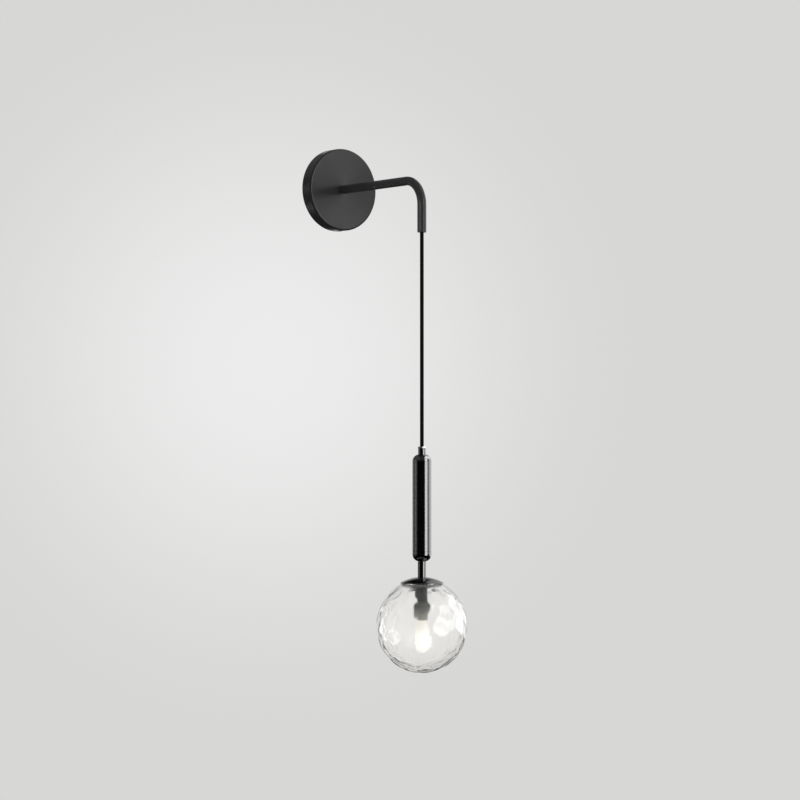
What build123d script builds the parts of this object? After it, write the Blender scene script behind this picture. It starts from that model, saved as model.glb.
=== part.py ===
from build123d import *

import math
import os

# Hanging pendant wall light.  Millimetres.  X runs along the wall, Y into the wall (the wall is y = 0),
# Z up.  The origin is the middle of the canopy's back.  The lamp stands out towards -Y.

# ---- Driving dimensions: wall end ----
canopy_radius = 56.0
canopy_depth = 19.0
canopy_wall = 1.2
canopy_edge_radius = 3.0

arm_radius = 6.0
arm_wall = 1.0
arm_reach = 192.5          # wall to the line that the lamp hangs on
arm_bend_radius = 34.0     # to the middle of the tube
arm_drop = 70.5            # arm's axis down to its open mouth

bracket_thickness = 2.0
bracket_width = 22.0
bracket_wing_reach = 40.0
bracket_wing_width = 24.0
cable_hole_radius = 12.0
slot_spacing = 60.0
slot_length = 14.0
slot_width = 5.0
ear_depth = 14.0
ear_inset = 1.5            # ear's outer face inside the canopy's wall
canopy_screw_radius = 1.95
canopy_screw_length = 5.5
canopy_screw_head_radius = 3.2
canopy_screw_head_height = 1.2
canopy_screw_bevel = 0.4
driver_slot_width = 0.8

nipple_bore_radius = 3.4
nipple_in_arm = 12.0
washer_radius = 10.0
washer_thickness = 1.0
lock_washer_radius = 8.0
lock_washer_thickness = 0.8
lock_washer_teeth = 8
lock_washer_notch_radius = 1.2
arm_nut_across_flats = 14.0
arm_nut_height = 2.5
cable_grip_radius = 6.5
cable_grip_thread = 3.2    # length screwed onto the nipple
cable_grip_clamp = 2.8     # length that holds the cord
cable_grip_screw_radius = 1.0
cable_grip_bevel = 0.8

block_length = 18.0
block_width = 20.0
block_depth = 11.0
block_near_edge = 18.0
block_edge_radius = 1.0
pole_spacing = 10.0
clamp_radius = 2.45
clamp_bore_radius = 1.5
clamp_inset = 1.5          # clamp's ends inside the housing
terminal_screw_radius = 1.25
terminal_screw_head_radius = 1.6
terminal_screw_head_height = 1.2
terminal_screw_spacing = 9.0
fine_slot_width = 0.5
fine_slot_depth = 0.5
block_screw_radius = 1.45
block_screw_head_radius = 2.2
block_screw_head_height = 1.6
block_screw_recess = 0.4   # head below the block's face

earth_screw_place = 26.0
earth_screw_radius = 1.95
earth_screw_head_radius = 3.5
earth_screw_head_height = 2.4
earth_washer_radius = 3.9
earth_washer_thickness = 0.8
lug_ring_radius = 4.0
lug_thickness = 0.8
lug_barrel_radius = 1.4
lug_barrel_length = 4.0
lug_neck = 1.0             # ring's edge to the barrel's start, under it

# ---- Driving dimensions: cord ----
cord_radius = 2.5
core_radius = 0.8
core_circle_radius = 1.2   # the three cores' centres inside the sheath
core_exit = 1.8            # bare cores straight out of the sheath
core_bend_radius = 1.2
core_spread = 3.5          # cores apart at the cable hole's edge
core_lead_in = 1.0         # core straight before the terminal
cord_drop = 282.0          # cord in the open, mouth to grip
cord_pivot_inset = 2.5     # the cord bends this far inside the mouth
cord_joint_inset = 0.5     # the bend's lower link ends this far inside the mouth
link_gap = 0.3
link_wedge_angle = 25.0    # room for the sideways swing between the two links
bushing_length = 8.0
bushing_lip = 0.45
bushing_flare_depth = 3.5

# ---- Driving dimensions: pendant ----
grip_height = 10.0
grip_radius = 5.0
grip_spigot_length = 6.0
grip_chamber_radius = 4.0
grip_floor = 5.0           # solid length under the chamber
ferrule_height = 2.5
ferrule_radius = 5.3
ferrule_lip_radius = 4.4
ferrule_flare_height = 1.5
ferrule_spigot_length = 1.2
collet_wall_gap = 0.1
collet_slot = 0.8

barrel_radius = 12.5
barrel_wall = 1.2
barrel_length = 141.0
end_dome_radius = 9.6
upper_cap_skirt = 0.5      # straight side between the dome and the seam
lower_cap_skirt = 3.6
end_spigot_length = 8.0
seam_chamfer = 0.25

rod_radius = 3.95
rod_bore_radius = 2.5
rod_grip_gap = 0.5         # rod's top under the grip's spigot
stem_radius = 5.5
stem_length = 21.7

globe_radius = 60.0
globe_half_height = 61.5
glass_wall = 3.5
outline_steps = 16         # points along the globe's outline
globe_cap_radius = 28.4
globe_cap_wall = 1.2
globe_cap_land_radius = 7.0
globe_cap_gap = 0.5        # cap's inside over the glass
neck_depth = 7.0
neck_wall = 3.0
seal_thickness = 0.7

collar_radius = 18.4       # root of the collar's thread
collar_wall = 1.6
collar_ceiling_drop = 4.8  # cap's inside down to the collar's ceiling
thread_pitch = 4.0
thread_depth = 0.9
thread_root_width = 1.6
thread_crest_width = 0.8
thread_clearance = 0.3     # crest to the other thread's root
collar_thread_turns = 1.5
neck_thread_turns = 0.6
thread_lead_in = 1.2       # collar's lower edge up to its thread's start
thread_start_angle = 90.0

sleeve_wall = 0.8
sleeve_plate = 1.2

rod_washer_side_gap = 0.8  # washer's edge inside the bracket's legs
rod_washer_thickness = 0.8
rod_nut_across_flats = 11.0
rod_nut_height = 3.5
rod_tail = 2.0

holder_bracket_gauge = 0.8
holder_bracket_width = 4.0
holder_bracket_drop = 20.5 # sleeve's plate down to the holder's top
holder_foot_length = 4.4
holder_crown = 3.5         # ceramic above the sockets
holder_rim = 0.7           # ceramic outside the screw heads
holder_recess = 10.3       # holder's face above the sleeve's lower edge
holder_screw_radius = 1.05
holder_screw_head_radius = 1.8
holder_screw_head_height = 1.6
pin_spacing = 9.0
socket_end_gap = 0.7       # over the pin's crown, less the gap under the holder
socket_side_gap = 0.5      # each side of the pin's loop
socket_width = 3.0
contact_thickness = 0.4
contact_side_gap = 0.4     # each side of the contact, in its socket
contact_foot_gap = 2.0     # contact's lower end above the holder's face
tag_thickness = 0.5
tag_width = 3.0
tag_length = 6.0
tag_drop = 2.0             # rod's lower end down to the tag
lead_spread_drop = 2.5     # rod's lower end down to where the cores part
lead_spread_length = 5.0
earth_lead_drop = 1.0
earth_lead_lap = 1.5       # tag's top down to the core's bend

bulb_radius = 9.5
bulb_wall = 1.0
bulb_bottom_radius = 7.0
bulb_visible_length = 42.3
bulb_base_step = 0.7       # base's side inside the cover
bulb_base_plug = 4.0
bulb_base_bevel = 0.6
pin_wire_radius = 0.4
pin_loop_width = 2.4       # centre to centre of the loop's two legs
pin_length = 13.8
pin_embed = 3.0
board_width = 12.0
board_thickness = 1.0
board_end_gap = 4.3        # board's lower end above the cover's floor
led_size = 2.6
led_thickness = 0.7
led_pitch = 5.0

# ---- Named clearances ----
thread_fit = 0.05          # stud in a tapped hole, on the radius
slip_fit = 0.1             # pieces that slide together when fitted
running_gap = 0.3          # between pieces that move
screw_gap = 0.2            # screw shank in a plain hole, on the radius

# ---- Heights and depths worked out from them ----
canopy_inside = -(canopy_depth - canopy_wall)
bracket_face = -bracket_thickness
arm_bore_radius = arm_radius - arm_wall
nipple_radius = arm_bore_radius - thread_fit
nut_seat = canopy_inside + washer_thickness + lock_washer_thickness
nut_face = nut_seat + arm_nut_height
nipple_end = nut_face + link_gap + cable_grip_thread
cable_grip_end = nipple_end + cable_grip_clamp
grip_screw_line = Pos(0, nipple_end + cable_grip_clamp / 2, 0)
sheath_end = cable_grip_end + running_gap
core_turn = sheath_end + core_exit

mouth = -arm_drop
pivot = mouth + cord_pivot_inset
cord_joint = mouth + cord_joint_inset
bushing_bore_radius = cord_radius + running_gap
bushing_radius = arm_bore_radius - thread_fit

grip_top = mouth - cord_drop
barrel_top = grip_top - grip_height
barrel_bottom = barrel_top - barrel_length
grip_spigot_radius = grip_radius - thread_fit
grip_bottom = barrel_top - grip_spigot_length
chamber_floor = grip_bottom + grip_floor
cord_end = chamber_floor + slip_fit
upper_seam = barrel_top - end_dome_radius - upper_cap_skirt
lower_seam = barrel_bottom + end_dome_radius + lower_cap_skirt
barrel_bore_radius = barrel_radius - barrel_wall
rod_hole_radius = rod_radius + thread_fit
rod_pass_radius = rod_radius + screw_gap
rod_top = grip_bottom - rod_grip_gap
cap_top = barrel_bottom - stem_length

globe_cap_inner_radius = globe_radius ** 2 / globe_half_height + globe_cap_gap
globe_cap_outer_radius = globe_cap_inner_radius + globe_cap_wall
land_rise = globe_cap_outer_radius - math.sqrt(globe_cap_outer_radius ** 2 - globe_cap_land_radius ** 2)
globe_cap_centre = cap_top + land_rise - globe_cap_outer_radius
cap_inside_top = globe_cap_centre + globe_cap_inner_radius
globe_top = cap_inside_top - globe_cap_gap
globe_centre = globe_top - globe_half_height
thread_crest_radius = collar_radius + thread_depth
neck_radius = thread_crest_radius + thread_clearance
neck_outer_radius = neck_radius + neck_wall
cap_over_neck = globe_cap_centre + math.sqrt(globe_cap_inner_radius ** 2 - neck_outer_radius ** 2)
seal_seat = cap_over_neck - running_gap - seal_thickness
rim_height = seal_seat - slip_fit
neck_bottom = rim_height - neck_depth
collar_bottom = neck_bottom + slip_fit
collar_ceiling = cap_inside_top - collar_ceiling_drop
thread_start = collar_bottom + thread_lead_in
bulb_base_radius = bulb_radius - bulb_wall - bulb_base_step
sleeve_bore_radius = bulb_base_radius + running_gap + slip_fit
sleeve_radius = sleeve_bore_radius + sleeve_wall
bracket_top = collar_ceiling - sleeve_plate
rod_washer_top = bracket_top - holder_bracket_gauge
rod_nut_top = rod_washer_top - rod_washer_thickness
rod_bottom = rod_nut_top - rod_nut_height - rod_tail
holder_bracket_reach = sleeve_bore_radius - running_gap - slip_fit
leg_inside = holder_bracket_reach - holder_bracket_gauge
rod_washer_radius = leg_inside - rod_washer_side_gap
holder_radius = sleeve_bore_radius - running_gap
holder_screw_place = holder_radius - holder_rim - holder_screw_head_radius
holder_top = bracket_top - holder_bracket_drop
socket_top = holder_top - holder_crown
holder_bottom = socket_top - pin_length - socket_end_gap
socket_length = pin_loop_width + 2 * (pin_wire_radius + socket_side_gap)
contact_length = socket_length - 2 * contact_side_gap
sleeve_bottom = holder_bottom - holder_recess
base_top = holder_bottom - running_gap
bulb_top = sleeve_bottom - running_gap
bulb_bottom = bulb_top - bulb_visible_length
base_bottom = bulb_top - bulb_base_plug
board_length = base_bottom - bulb_bottom - bulb_wall - board_end_gap
pole_height = bracket_face - block_depth / 2
block_middle = block_near_edge + block_length / 2
clamp_length = block_length - 2 * clamp_inset
block_front = bracket_face - block_depth
block_screw_seat = block_front + block_screw_head_height + block_screw_recess
ear_face = canopy_radius - canopy_wall - ear_inset
ear_screw_line = Pos(0, -canopy_depth / 2, 0)
lug_barrel_end = -earth_screw_place + lug_ring_radius + lug_barrel_length
lug_barrel_height = bracket_face - lug_barrel_radius
tag_face = leg_inside - tag_thickness
tag_top = rod_bottom - tag_drop
tag_bottom = tag_top - tag_length
drop_line = Pos(0, -arm_reach, 0)


# ---- Helpers ----
def disc(radius, low, high):
    """Upright cylinder on the Z axis between two heights."""
    return Pos(0, 0, (low + high) / 2) * Cylinder(radius, high - low)


def ring(outer, inner, low, high):
    """Upright tube on the Z axis between two heights."""
    return disc(outer, low, high) - disc(inner, low, high)


def peg(radius, start, end, x=0.0, z=0.0):
    """Cylinder square to the wall between two depths (y values)."""
    return Pos(x, (start + end) / 2, z) * Rot(X=90) * Cylinder(radius, abs(end - start))


def block(x_range, y_range, z_range):
    """Box between two corners."""
    size = [high - low for low, high in (x_range, y_range, z_range)]
    middle = [(high + low) / 2 for low, high in (x_range, y_range, z_range)]
    return Pos(*middle) * Box(*size)


def turned(*edges):
    """Solid of revolution about Z from outline edges in (radius, height)."""
    return revolve(Plane.XZ * make_face(edges), Axis.Z)


def turned_points(*points):
    """Solid of revolution about Z from straight-sided outline points."""
    return turned(Polyline(*points, close=True))


def wire_along(points, radius, bend):
    """Round wire along straight runs joined by tangent arcs."""
    path = FilletPolyline(*points, radius=bend)
    return sweep(Plane(origin=path @ 0, z_dir=path % 0) * Circle(radius), path=path)


def sphere_point(radius, centre, r):
    """Point on a sphere's upper half, as (r, height)."""
    return (r, centre + math.sqrt(radius ** 2 - r ** 2))


def globe_curve(inset, r):
    """Globe outline, part of an ellipse, from its lowest point round to radius r near the top."""
    across = globe_radius - inset
    tall = globe_half_height - inset
    step = (math.pi / 2 + math.acos(r / across)) / outline_steps
    turns = [step * count for count in range(outline_steps + 1)]
    points = [(across * math.sin(turn), globe_centre - tall * math.cos(turn)) for turn in turns]
    end_tangent = (across * math.cos(turns[-1]), tall * math.sin(turns[-1]))
    return Spline(*points, tangents=[(1, 0), end_tangent])


def screw_thread(root_radius, outward, turns, start_height):
    """Helical ridge with a trapezoid section, sunk a little into the wall that carries it."""
    helix = Helix(pitch=thread_pitch, height=thread_pitch * turns, radius=root_radius)
    sunk_depth = thread_depth / 2
    flank = (thread_root_width - thread_crest_width) / 2 / thread_depth
    crest = root_radius + outward * thread_depth
    sunk = root_radius - outward * sunk_depth
    half_crest = thread_crest_width / 2
    half_sunk = thread_root_width / 2 + flank * sunk_depth
    section = Polyline((sunk, -half_sunk), (crest, -half_crest),
                       (crest, half_crest), (sunk, half_sunk), close=True)
    ridge = sweep(Plane.XZ * make_face(section), path=helix, is_frenet=True)
    return Pos(0, 0, start_height) * Rot(Z=thread_start_angle) * ridge


# ---- Wall end ----
def make_canopy_cover():
    """Spun cup with a hole for the arm's nipple and two screw holes in its rim."""
    cup = peg(canopy_radius, 0, -canopy_depth)
    cup = fillet(cup.edges().sort_by(Axis.Y)[0], canopy_edge_radius)
    hollow = peg(canopy_radius - canopy_wall, 0, canopy_inside)
    hollow = fillet(hollow.edges().sort_by(Axis.Y)[0], canopy_edge_radius - canopy_wall)
    cup -= peg(nipple_radius + screw_gap, 0, -canopy_depth)
    screw_holes = disc(canopy_screw_radius + screw_gap, -canopy_radius, canopy_radius)
    return cup - hollow - ear_screw_line * screw_holes


def make_wall_bracket():
    """Steel cross on the wall: slots above and below, ears for the canopy, a wing on each side."""
    half_width = bracket_width / 2
    strip = block((-half_width, half_width), (bracket_face, 0), (-ear_face, ear_face))
    wings = block((-bracket_wing_reach, bracket_wing_reach), (bracket_face, 0),
                  (-bracket_wing_width / 2, bracket_wing_width / 2))
    plate = strip + wings
    corners = plate.edges().filter_by(Axis.Y).filter_by(lambda edge: abs(edge.center().X) > bracket_width)
    plate = fillet(corners, bracket_thickness)
    for side in (-1, 1):
        ear_z = sorted((side * (ear_face - bracket_thickness), side * ear_face))
        plate += block((-half_width, half_width), (-ear_depth, 0), ear_z)
        slot = Pos(0, bracket_face / 2, side * slot_spacing / 2) * Rot(X=90) * Rot(Z=90)
        plate -= slot * extrude(SlotOverall(slot_length, slot_width), bracket_thickness, both=True)
    plate -= peg(cable_hole_radius, 0, bracket_face)
    plate -= peg(earth_screw_radius + thread_fit, 0, bracket_face, -earth_screw_place)
    plate -= peg(block_screw_radius + thread_fit, 0, bracket_face, block_middle)
    return plate - ear_screw_line * disc(canopy_screw_radius + thread_fit, -canopy_radius, canopy_radius)


def make_canopy_screws():
    """Two low-headed screws, one in the top of the rim and one in the bottom."""
    head = disc(canopy_screw_head_radius, 0, canopy_screw_head_height)
    head = chamfer(head.edges().sort_by(Axis.Z)[-1], canopy_screw_bevel)
    slot_half = driver_slot_width / 2
    slot = block((-canopy_screw_head_radius, canopy_screw_head_radius), (-slot_half, slot_half),
                 (canopy_screw_head_height / 2, canopy_screw_head_height))
    screw = Pos(0, 0, canopy_radius) * (head + disc(canopy_screw_radius, -canopy_screw_length, 0) - slot)
    return ear_screw_line * (Part() + [screw, Rot(Y=180) * screw])


def make_terminal_block():
    """Two-pole housing with through bores, screw wells and a fixing hole."""
    body = block((block_near_edge, block_near_edge + block_length), (block_front, bracket_face),
                 (-block_width / 2, block_width / 2))
    body = fillet(body.edges().filter_by(Axis.X), block_edge_radius)
    for side in (-1, 1):
        pole = Pos(block_middle, pole_height, side * pole_spacing / 2) * Rot(Y=90)
        body -= pole * Cylinder(clamp_radius + thread_fit, block_length)
        for place in screw_places():
            body -= peg(terminal_screw_head_radius + screw_gap, pole_height, block_front,
                        place, side * pole_spacing / 2)
    body -= peg(block_screw_radius + screw_gap, 0, block_front, block_middle)
    return body - peg(block_screw_head_radius + screw_gap, block_screw_seat, block_front, block_middle)


def screw_places():
    """Places along X of the two terminal screws on a pole."""
    return (block_middle - terminal_screw_spacing / 2, block_middle + terminal_screw_spacing / 2)


def make_terminal_clamps():
    """Brass tube clamps, one in each pole."""
    clamps = Part()
    for side in (-1, 1):
        pole = Pos(block_middle, pole_height, side * pole_spacing / 2) * Rot(Y=90)
        clamp = pole * Cylinder(clamp_radius, clamp_length) - pole * Cylinder(clamp_bore_radius, clamp_length)
        for place in screw_places():
            clamp -= peg(terminal_screw_radius + thread_fit, pole_height, pole_height - clamp_radius,
                         place, side * pole_spacing / 2)
        clamps += clamp
    return clamps


def make_terminal_screws():
    """Four slotted screws that pinch the cores."""
    tip = pole_height - core_radius - slip_fit
    shoulder = pole_height - clamp_radius
    top = shoulder - terminal_screw_head_height
    screws = Part()
    for side in (-1, 1):
        for place in screw_places():
            z = side * pole_spacing / 2
            screw = peg(terminal_screw_radius, tip, shoulder, place, z)
            screw += peg(terminal_screw_head_radius, shoulder, top, place, z)
            slot_x = (place - terminal_screw_head_radius, place + terminal_screw_head_radius)
            slot_z = (z - fine_slot_width / 2, z + fine_slot_width / 2)
            screws += screw - block(slot_x, (top, top + fine_slot_depth), slot_z)
    return screws


def make_block_screw():
    """Screw that holds the terminal block to the bracket's wing."""
    shank = peg(block_screw_radius, -slip_fit, block_screw_seat, block_middle)
    head_top = block_screw_seat - block_screw_head_height
    return shank + peg(block_screw_head_radius, block_screw_seat, head_top, block_middle)


def make_earth_screw():
    """Earth terminal's screw in the left wing."""
    seat = bracket_face - lug_thickness - earth_washer_thickness
    shank = peg(earth_screw_radius, -slip_fit, seat, -earth_screw_place)
    top = seat - earth_screw_head_height
    head = peg(earth_screw_head_radius, seat, top, -earth_screw_place)
    slot_half = driver_slot_width / 2
    slot_x = (-earth_screw_place - slot_half, -earth_screw_place + slot_half)
    slot = block(slot_x, (top, seat - earth_screw_head_height / 2),
                 (-earth_screw_head_radius, earth_screw_head_radius))
    return shank + head - slot


def make_earth_washer():
    """Plain washer under the earth screw's head."""
    seat = bracket_face - lug_thickness
    top = seat - earth_washer_thickness
    washer = peg(earth_washer_radius, seat, top, -earth_screw_place)
    return washer - peg(earth_screw_radius + screw_gap, seat, top, -earth_screw_place)


def make_earth_lug():
    """Crimped ring lug: a flat ring with a barrel for the core."""
    top = bracket_face - lug_thickness
    flat = peg(lug_ring_radius, bracket_face, top, -earth_screw_place)
    neck_x = (-earth_screw_place, -earth_screw_place + lug_ring_radius + lug_neck)
    flat += block(neck_x, (top, bracket_face), (-lug_barrel_radius, lug_barrel_radius))
    barrel = Pos(lug_barrel_end - lug_barrel_length / 2, lug_barrel_height, 0) * Rot(Y=90)
    lug = flat + barrel * Cylinder(lug_barrel_radius, lug_barrel_length)
    lug -= barrel * Cylinder(core_radius + thread_fit, lug_barrel_length)
    return lug - peg(earth_screw_radius + screw_gap, bracket_face, top, -earth_screw_place)


def make_arm_nipple():
    """Hollow threaded stud from inside the canopy into the arm."""
    start = -(canopy_depth + nipple_in_arm)
    return peg(nipple_radius, start, nipple_end) - peg(nipple_bore_radius, start, nipple_end)


def make_arm_washer():
    """Flat washer against the canopy's inside."""
    end = canopy_inside + washer_thickness
    return peg(washer_radius, canopy_inside, end) - peg(nipple_radius + screw_gap, canopy_inside, end)


def make_arm_lock_washer():
    """Toothed lock washer under the nut."""
    start = canopy_inside + washer_thickness
    washer = peg(lock_washer_radius, start, nut_seat) - peg(nipple_radius + screw_gap, start, nut_seat)
    for tooth in range(lock_washer_teeth):
        angle = math.radians(360 / lock_washer_teeth * tooth)
        notch_x = lock_washer_radius * math.cos(angle)
        notch_z = lock_washer_radius * math.sin(angle)
        washer -= peg(lock_washer_notch_radius, start, nut_seat, notch_x, notch_z)
    return washer


def make_arm_nut():
    """Thin hexagon nut that locks the arm to the canopy."""
    hexagon = RegularPolygon(arm_nut_across_flats / 2, 6, major_radius=False)
    nut = Pos(0, nut_face, 0) * Rot(X=90) * extrude(hexagon, arm_nut_height)
    return nut - peg(nipple_radius + thread_fit, nut_seat, nut_face)


def make_arm_cord_grip():
    """Plastic strain relief screwed onto the nipple's end."""
    start = nipple_end - cable_grip_thread
    body = peg(cable_grip_radius, start, cable_grip_end)
    body = chamfer(body.edges().sort_by(Axis.Y)[-1], cable_grip_bevel)
    body -= peg(nipple_radius + thread_fit, start, nipple_end)
    body -= peg(cord_radius + slip_fit, nipple_end, cable_grip_end)
    return body - grip_screw_line * disc(cable_grip_screw_radius + thread_fit, cord_radius, cable_grip_radius)


def make_arm_grip_screw():
    """Nylon screw that pinches the cord."""
    return grip_screw_line * disc(cable_grip_screw_radius, cord_radius + slip_fit, cable_grip_radius)


def arm_path(start, end):
    """Line of the arm from a depth near the wall to a height near the mouth."""
    return FilletPolyline((0, start, 0), (0, -arm_reach, 0), (0, -arm_reach, end), radius=arm_bend_radius)


def make_arm_tube():
    """Tube, straight out from the canopy and bent once straight down."""
    path = arm_path(-canopy_depth, mouth)
    section = Circle(arm_radius) - Circle(arm_bore_radius)
    return sweep(Plane(origin=path @ 0, z_dir=path % 0) * section, path=path)


def make_arm_lead():
    """The cord inside the arm, from the strain relief to the bend at the mouth."""
    path = arm_path(sheath_end, pivot + cord_radius + link_gap)
    return sweep(Plane(origin=path @ 0, z_dir=path % 0) * Circle(cord_radius), path=path)


def core_offset(angle):
    """Place of a core's centre in the sheath's section."""
    turn = math.radians(angle)
    return (core_circle_radius * math.cos(turn), core_circle_radius * math.sin(turn))


def make_arm_lead_cores():
    """Line and neutral cores to the terminals, earth core to its lug."""
    cores = Part()
    for angle, side in ((90, 1), (-30, -1)):
        x, z = core_offset(angle)
        pole = side * pole_spacing / 2
        route = [(x, sheath_end, z), (x, core_turn, z), (cable_hole_radius, core_turn, side * core_spread),
                 (block_near_edge - core_lead_in, pole_height, pole), (block_middle, pole_height, pole)]
        cores += wire_along(route, core_radius, core_bend_radius)
    x, z = core_offset(210)
    route = [(x, sheath_end, z), (x, core_turn, z), (-cable_hole_radius, core_turn, 0),
             (lug_barrel_end + 2 * core_lead_in, lug_barrel_height, 0),
             (lug_barrel_end - lug_barrel_length, lug_barrel_height, 0)]
    return cores + wire_along(route, core_radius, core_bend_radius)


def make_arm_end_bushing():
    """Insert in the arm's mouth, flared so that the cord can swing."""
    top = mouth + bushing_length
    mouth_radius = bushing_radius - bushing_lip
    return drop_line * turned_points(
        (bushing_bore_radius, top), (bushing_radius, top), (bushing_radius, mouth),
        (mouth_radius, mouth), (bushing_bore_radius, mouth + bushing_flare_depth))


# ---- The cord's bend ----
def make_cord_bend_upper():
    """Cord at the pivot: a round end above, a roof-shaped underside that leaves room for the swing."""
    rise = math.tan(math.radians(link_wedge_angle))
    reach = 2 * cord_radius
    apex = link_gap / 2
    roof = Polyline((0, apex), (reach, apex + reach * rise), (reach, 2 * reach),
                    (-reach, 2 * reach), (-reach, apex + reach * rise), close=True)
    room = extrude(Plane.XZ * make_face(roof), reach, both=True)
    return drop_line * Pos(0, 0, pivot) * (Sphere(cord_radius) & room)


def make_cord_bend_lower():
    """Cord just under the pivot, down to the mouth."""
    return drop_line * disc(cord_radius, cord_joint, pivot - link_gap / 2)


# ---- Pendant ----
def make_pendant_cord():
    """Cord from the mouth to the bottom of the grip's chamber."""
    return drop_line * disc(cord_radius, cord_end, cord_joint - link_gap)


def make_cord_ferrule():
    """Bright flared ring that screws into the grip and squeezes the collet."""
    shoulder = grip_top - ferrule_height
    tail = shoulder - ferrule_spigot_length
    bore = cord_radius + running_gap
    spigot = grip_chamber_radius - thread_fit
    return drop_line * turned_points(
        (bore, grip_top), (ferrule_lip_radius, grip_top), (ferrule_radius, grip_top - ferrule_flare_height),
        (ferrule_radius, shoulder), (spigot, shoulder), (spigot, tail), (bore, tail))


def make_cord_grip():
    """Grip body with a threaded spigot into the upper end cap."""
    shoulder = grip_top - ferrule_height
    core_bore = core_circle_radius + core_radius + running_gap
    return drop_line * turned_points(
        (grip_chamber_radius, shoulder), (grip_radius, shoulder), (grip_radius, barrel_top),
        (grip_spigot_radius, barrel_top), (grip_spigot_radius, grip_bottom), (core_bore, grip_bottom),
        (core_bore, chamber_floor), (grip_chamber_radius, chamber_floor))


def make_grip_collet():
    """Split nylon collet round the cord."""
    top = grip_top - ferrule_height - ferrule_spigot_length - slip_fit
    outer = grip_chamber_radius - collet_wall_gap
    collet = ring(outer, cord_radius + thread_fit, cord_end, top)
    slot = block((-collet_slot / 2, collet_slot / 2), (-grip_radius, 0), (cord_end, top))
    return drop_line * (collet - slot)


def make_upper_end_cap():
    """Domed cap with a spigot into the barrel, tapped for the grip above and the rod below."""
    cap = disc(barrel_radius, upper_seam, barrel_top)
    cap = fillet(cap.edges().sort_by(Axis.Z)[-1], end_dome_radius)
    cap += disc(barrel_bore_radius - slip_fit, upper_seam - end_spigot_length, upper_seam)
    cap -= disc(grip_spigot_radius + thread_fit, grip_bottom - slip_fit, barrel_top)
    return drop_line * (cap - disc(rod_hole_radius, upper_seam - end_spigot_length, barrel_top))


def make_barrel_tube():
    """Barrel between the two end caps, with a fine bevel at each seam."""
    tube = disc(barrel_radius, lower_seam, upper_seam)
    tube = chamfer(tube.edges().filter_by(GeomType.CIRCLE), seam_chamfer)
    return drop_line * (tube - disc(barrel_bore_radius, lower_seam, upper_seam))


def make_lower_end_cap():
    """Domed cap at the barrel's foot, with the rod passing through."""
    cap = disc(barrel_radius, barrel_bottom, lower_seam)
    cap = fillet(cap.edges().sort_by(Axis.Z)[0], end_dome_radius)
    cap += disc(barrel_bore_radius - slip_fit, lower_seam, lower_seam + end_spigot_length)
    return drop_line * (cap - disc(rod_pass_radius, barrel_bottom, lower_seam + end_spigot_length))


def make_centre_rod():
    """Hollow threaded rod that pulls the whole pendant together and carries the cores."""
    return drop_line * ring(rod_radius, rod_bore_radius, rod_bottom, rod_top)


def make_stem_sleeve():
    """Plain sleeve between the barrel and the globe cap."""
    return drop_line * ring(stem_radius, rod_pass_radius, cap_top, barrel_bottom)


def dome_arc(radius, r_start, r_end):
    """Arc of the globe cap's sphere between two radii."""
    points = [sphere_point(radius, globe_cap_centre, r) for r in (r_start, (r_start + r_end) / 2, r_end)]
    return ThreePointArc(*points)


def make_globe_cap():
    """Dished cap that follows the globe, with a flat land for the stem."""
    hole = rod_pass_radius
    inner_edge = globe_cap_radius - globe_cap_wall / 2
    outer = dome_arc(globe_cap_outer_radius, globe_cap_land_radius, globe_cap_radius)
    inner = dome_arc(globe_cap_inner_radius, hole, inner_edge)
    return drop_line * turned(
        Line((hole, cap_top), outer @ 0), outer, Line(outer @ 1, inner @ 1), inner,
        Line(inner @ 0, (hole, cap_top)))


def make_globe_collar():
    """Threaded collar under the globe cap, which the glass screws onto."""
    hole = rod_pass_radius
    bore = collar_radius - collar_wall
    dome = dome_arc(globe_cap_inner_radius - slip_fit, hole, collar_radius)
    sides = Polyline(dome @ 1, (collar_radius, collar_bottom), (bore, collar_bottom),
                     (bore, collar_ceiling), (hole, collar_ceiling), dome @ 0)
    collar = turned(dome, sides)
    thread = screw_thread(collar_radius, 1, collar_thread_turns, thread_start)
    return drop_line * (collar + thread)


def make_lamp_sleeve():
    """Sleeve round the lamp holder, closed above by a plate with a hole for the rod."""
    sleeve = disc(sleeve_radius, sleeve_bottom, collar_ceiling)
    sleeve -= disc(sleeve_bore_radius, sleeve_bottom, bracket_top)
    return drop_line * (sleeve - disc(rod_pass_radius, bracket_top, collar_ceiling))


def make_rod_washer():
    """Washer over the rod's nut."""
    return drop_line * ring(rod_washer_radius, rod_pass_radius, rod_nut_top, rod_washer_top)


def make_rod_nut():
    """Nut that clamps sleeve, collar, globe cap and stem to the barrel."""
    hexagon = RegularPolygon(rod_nut_across_flats / 2, 6, major_radius=False, rotation=30)
    nut = Pos(0, 0, rod_nut_top - rod_nut_height) * extrude(hexagon, rod_nut_height)
    return drop_line * (nut - disc(rod_hole_radius, rod_nut_top - rod_nut_height, rod_nut_top))


def make_holder_bracket():
    """U-shaped strap under the sleeve's plate, with two tapped feet for the holder."""
    half = holder_bracket_width / 2
    strap = disc(leg_inside, rod_washer_top, bracket_top)
    for side in (-1, 1):
        leg_x = sorted((side * leg_inside, side * holder_bracket_reach))
        arm_x = sorted((0, side * holder_bracket_reach))
        foot_x = sorted((side * (holder_bracket_reach - holder_foot_length), side * holder_bracket_reach))
        strap += block(leg_x, (-half, half), (holder_top, bracket_top))
        strap += block(arm_x, (-half, half), (rod_washer_top, bracket_top))
        strap += block(foot_x, (-half, half), (holder_top, holder_top + holder_bracket_gauge))
        strap -= Pos(side * holder_screw_place, 0, 0) * disc(
            holder_screw_radius + thread_fit, holder_top, holder_top + holder_bracket_gauge)
    return drop_line * (strap - disc(rod_pass_radius, rod_washer_top, bracket_top))


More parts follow.
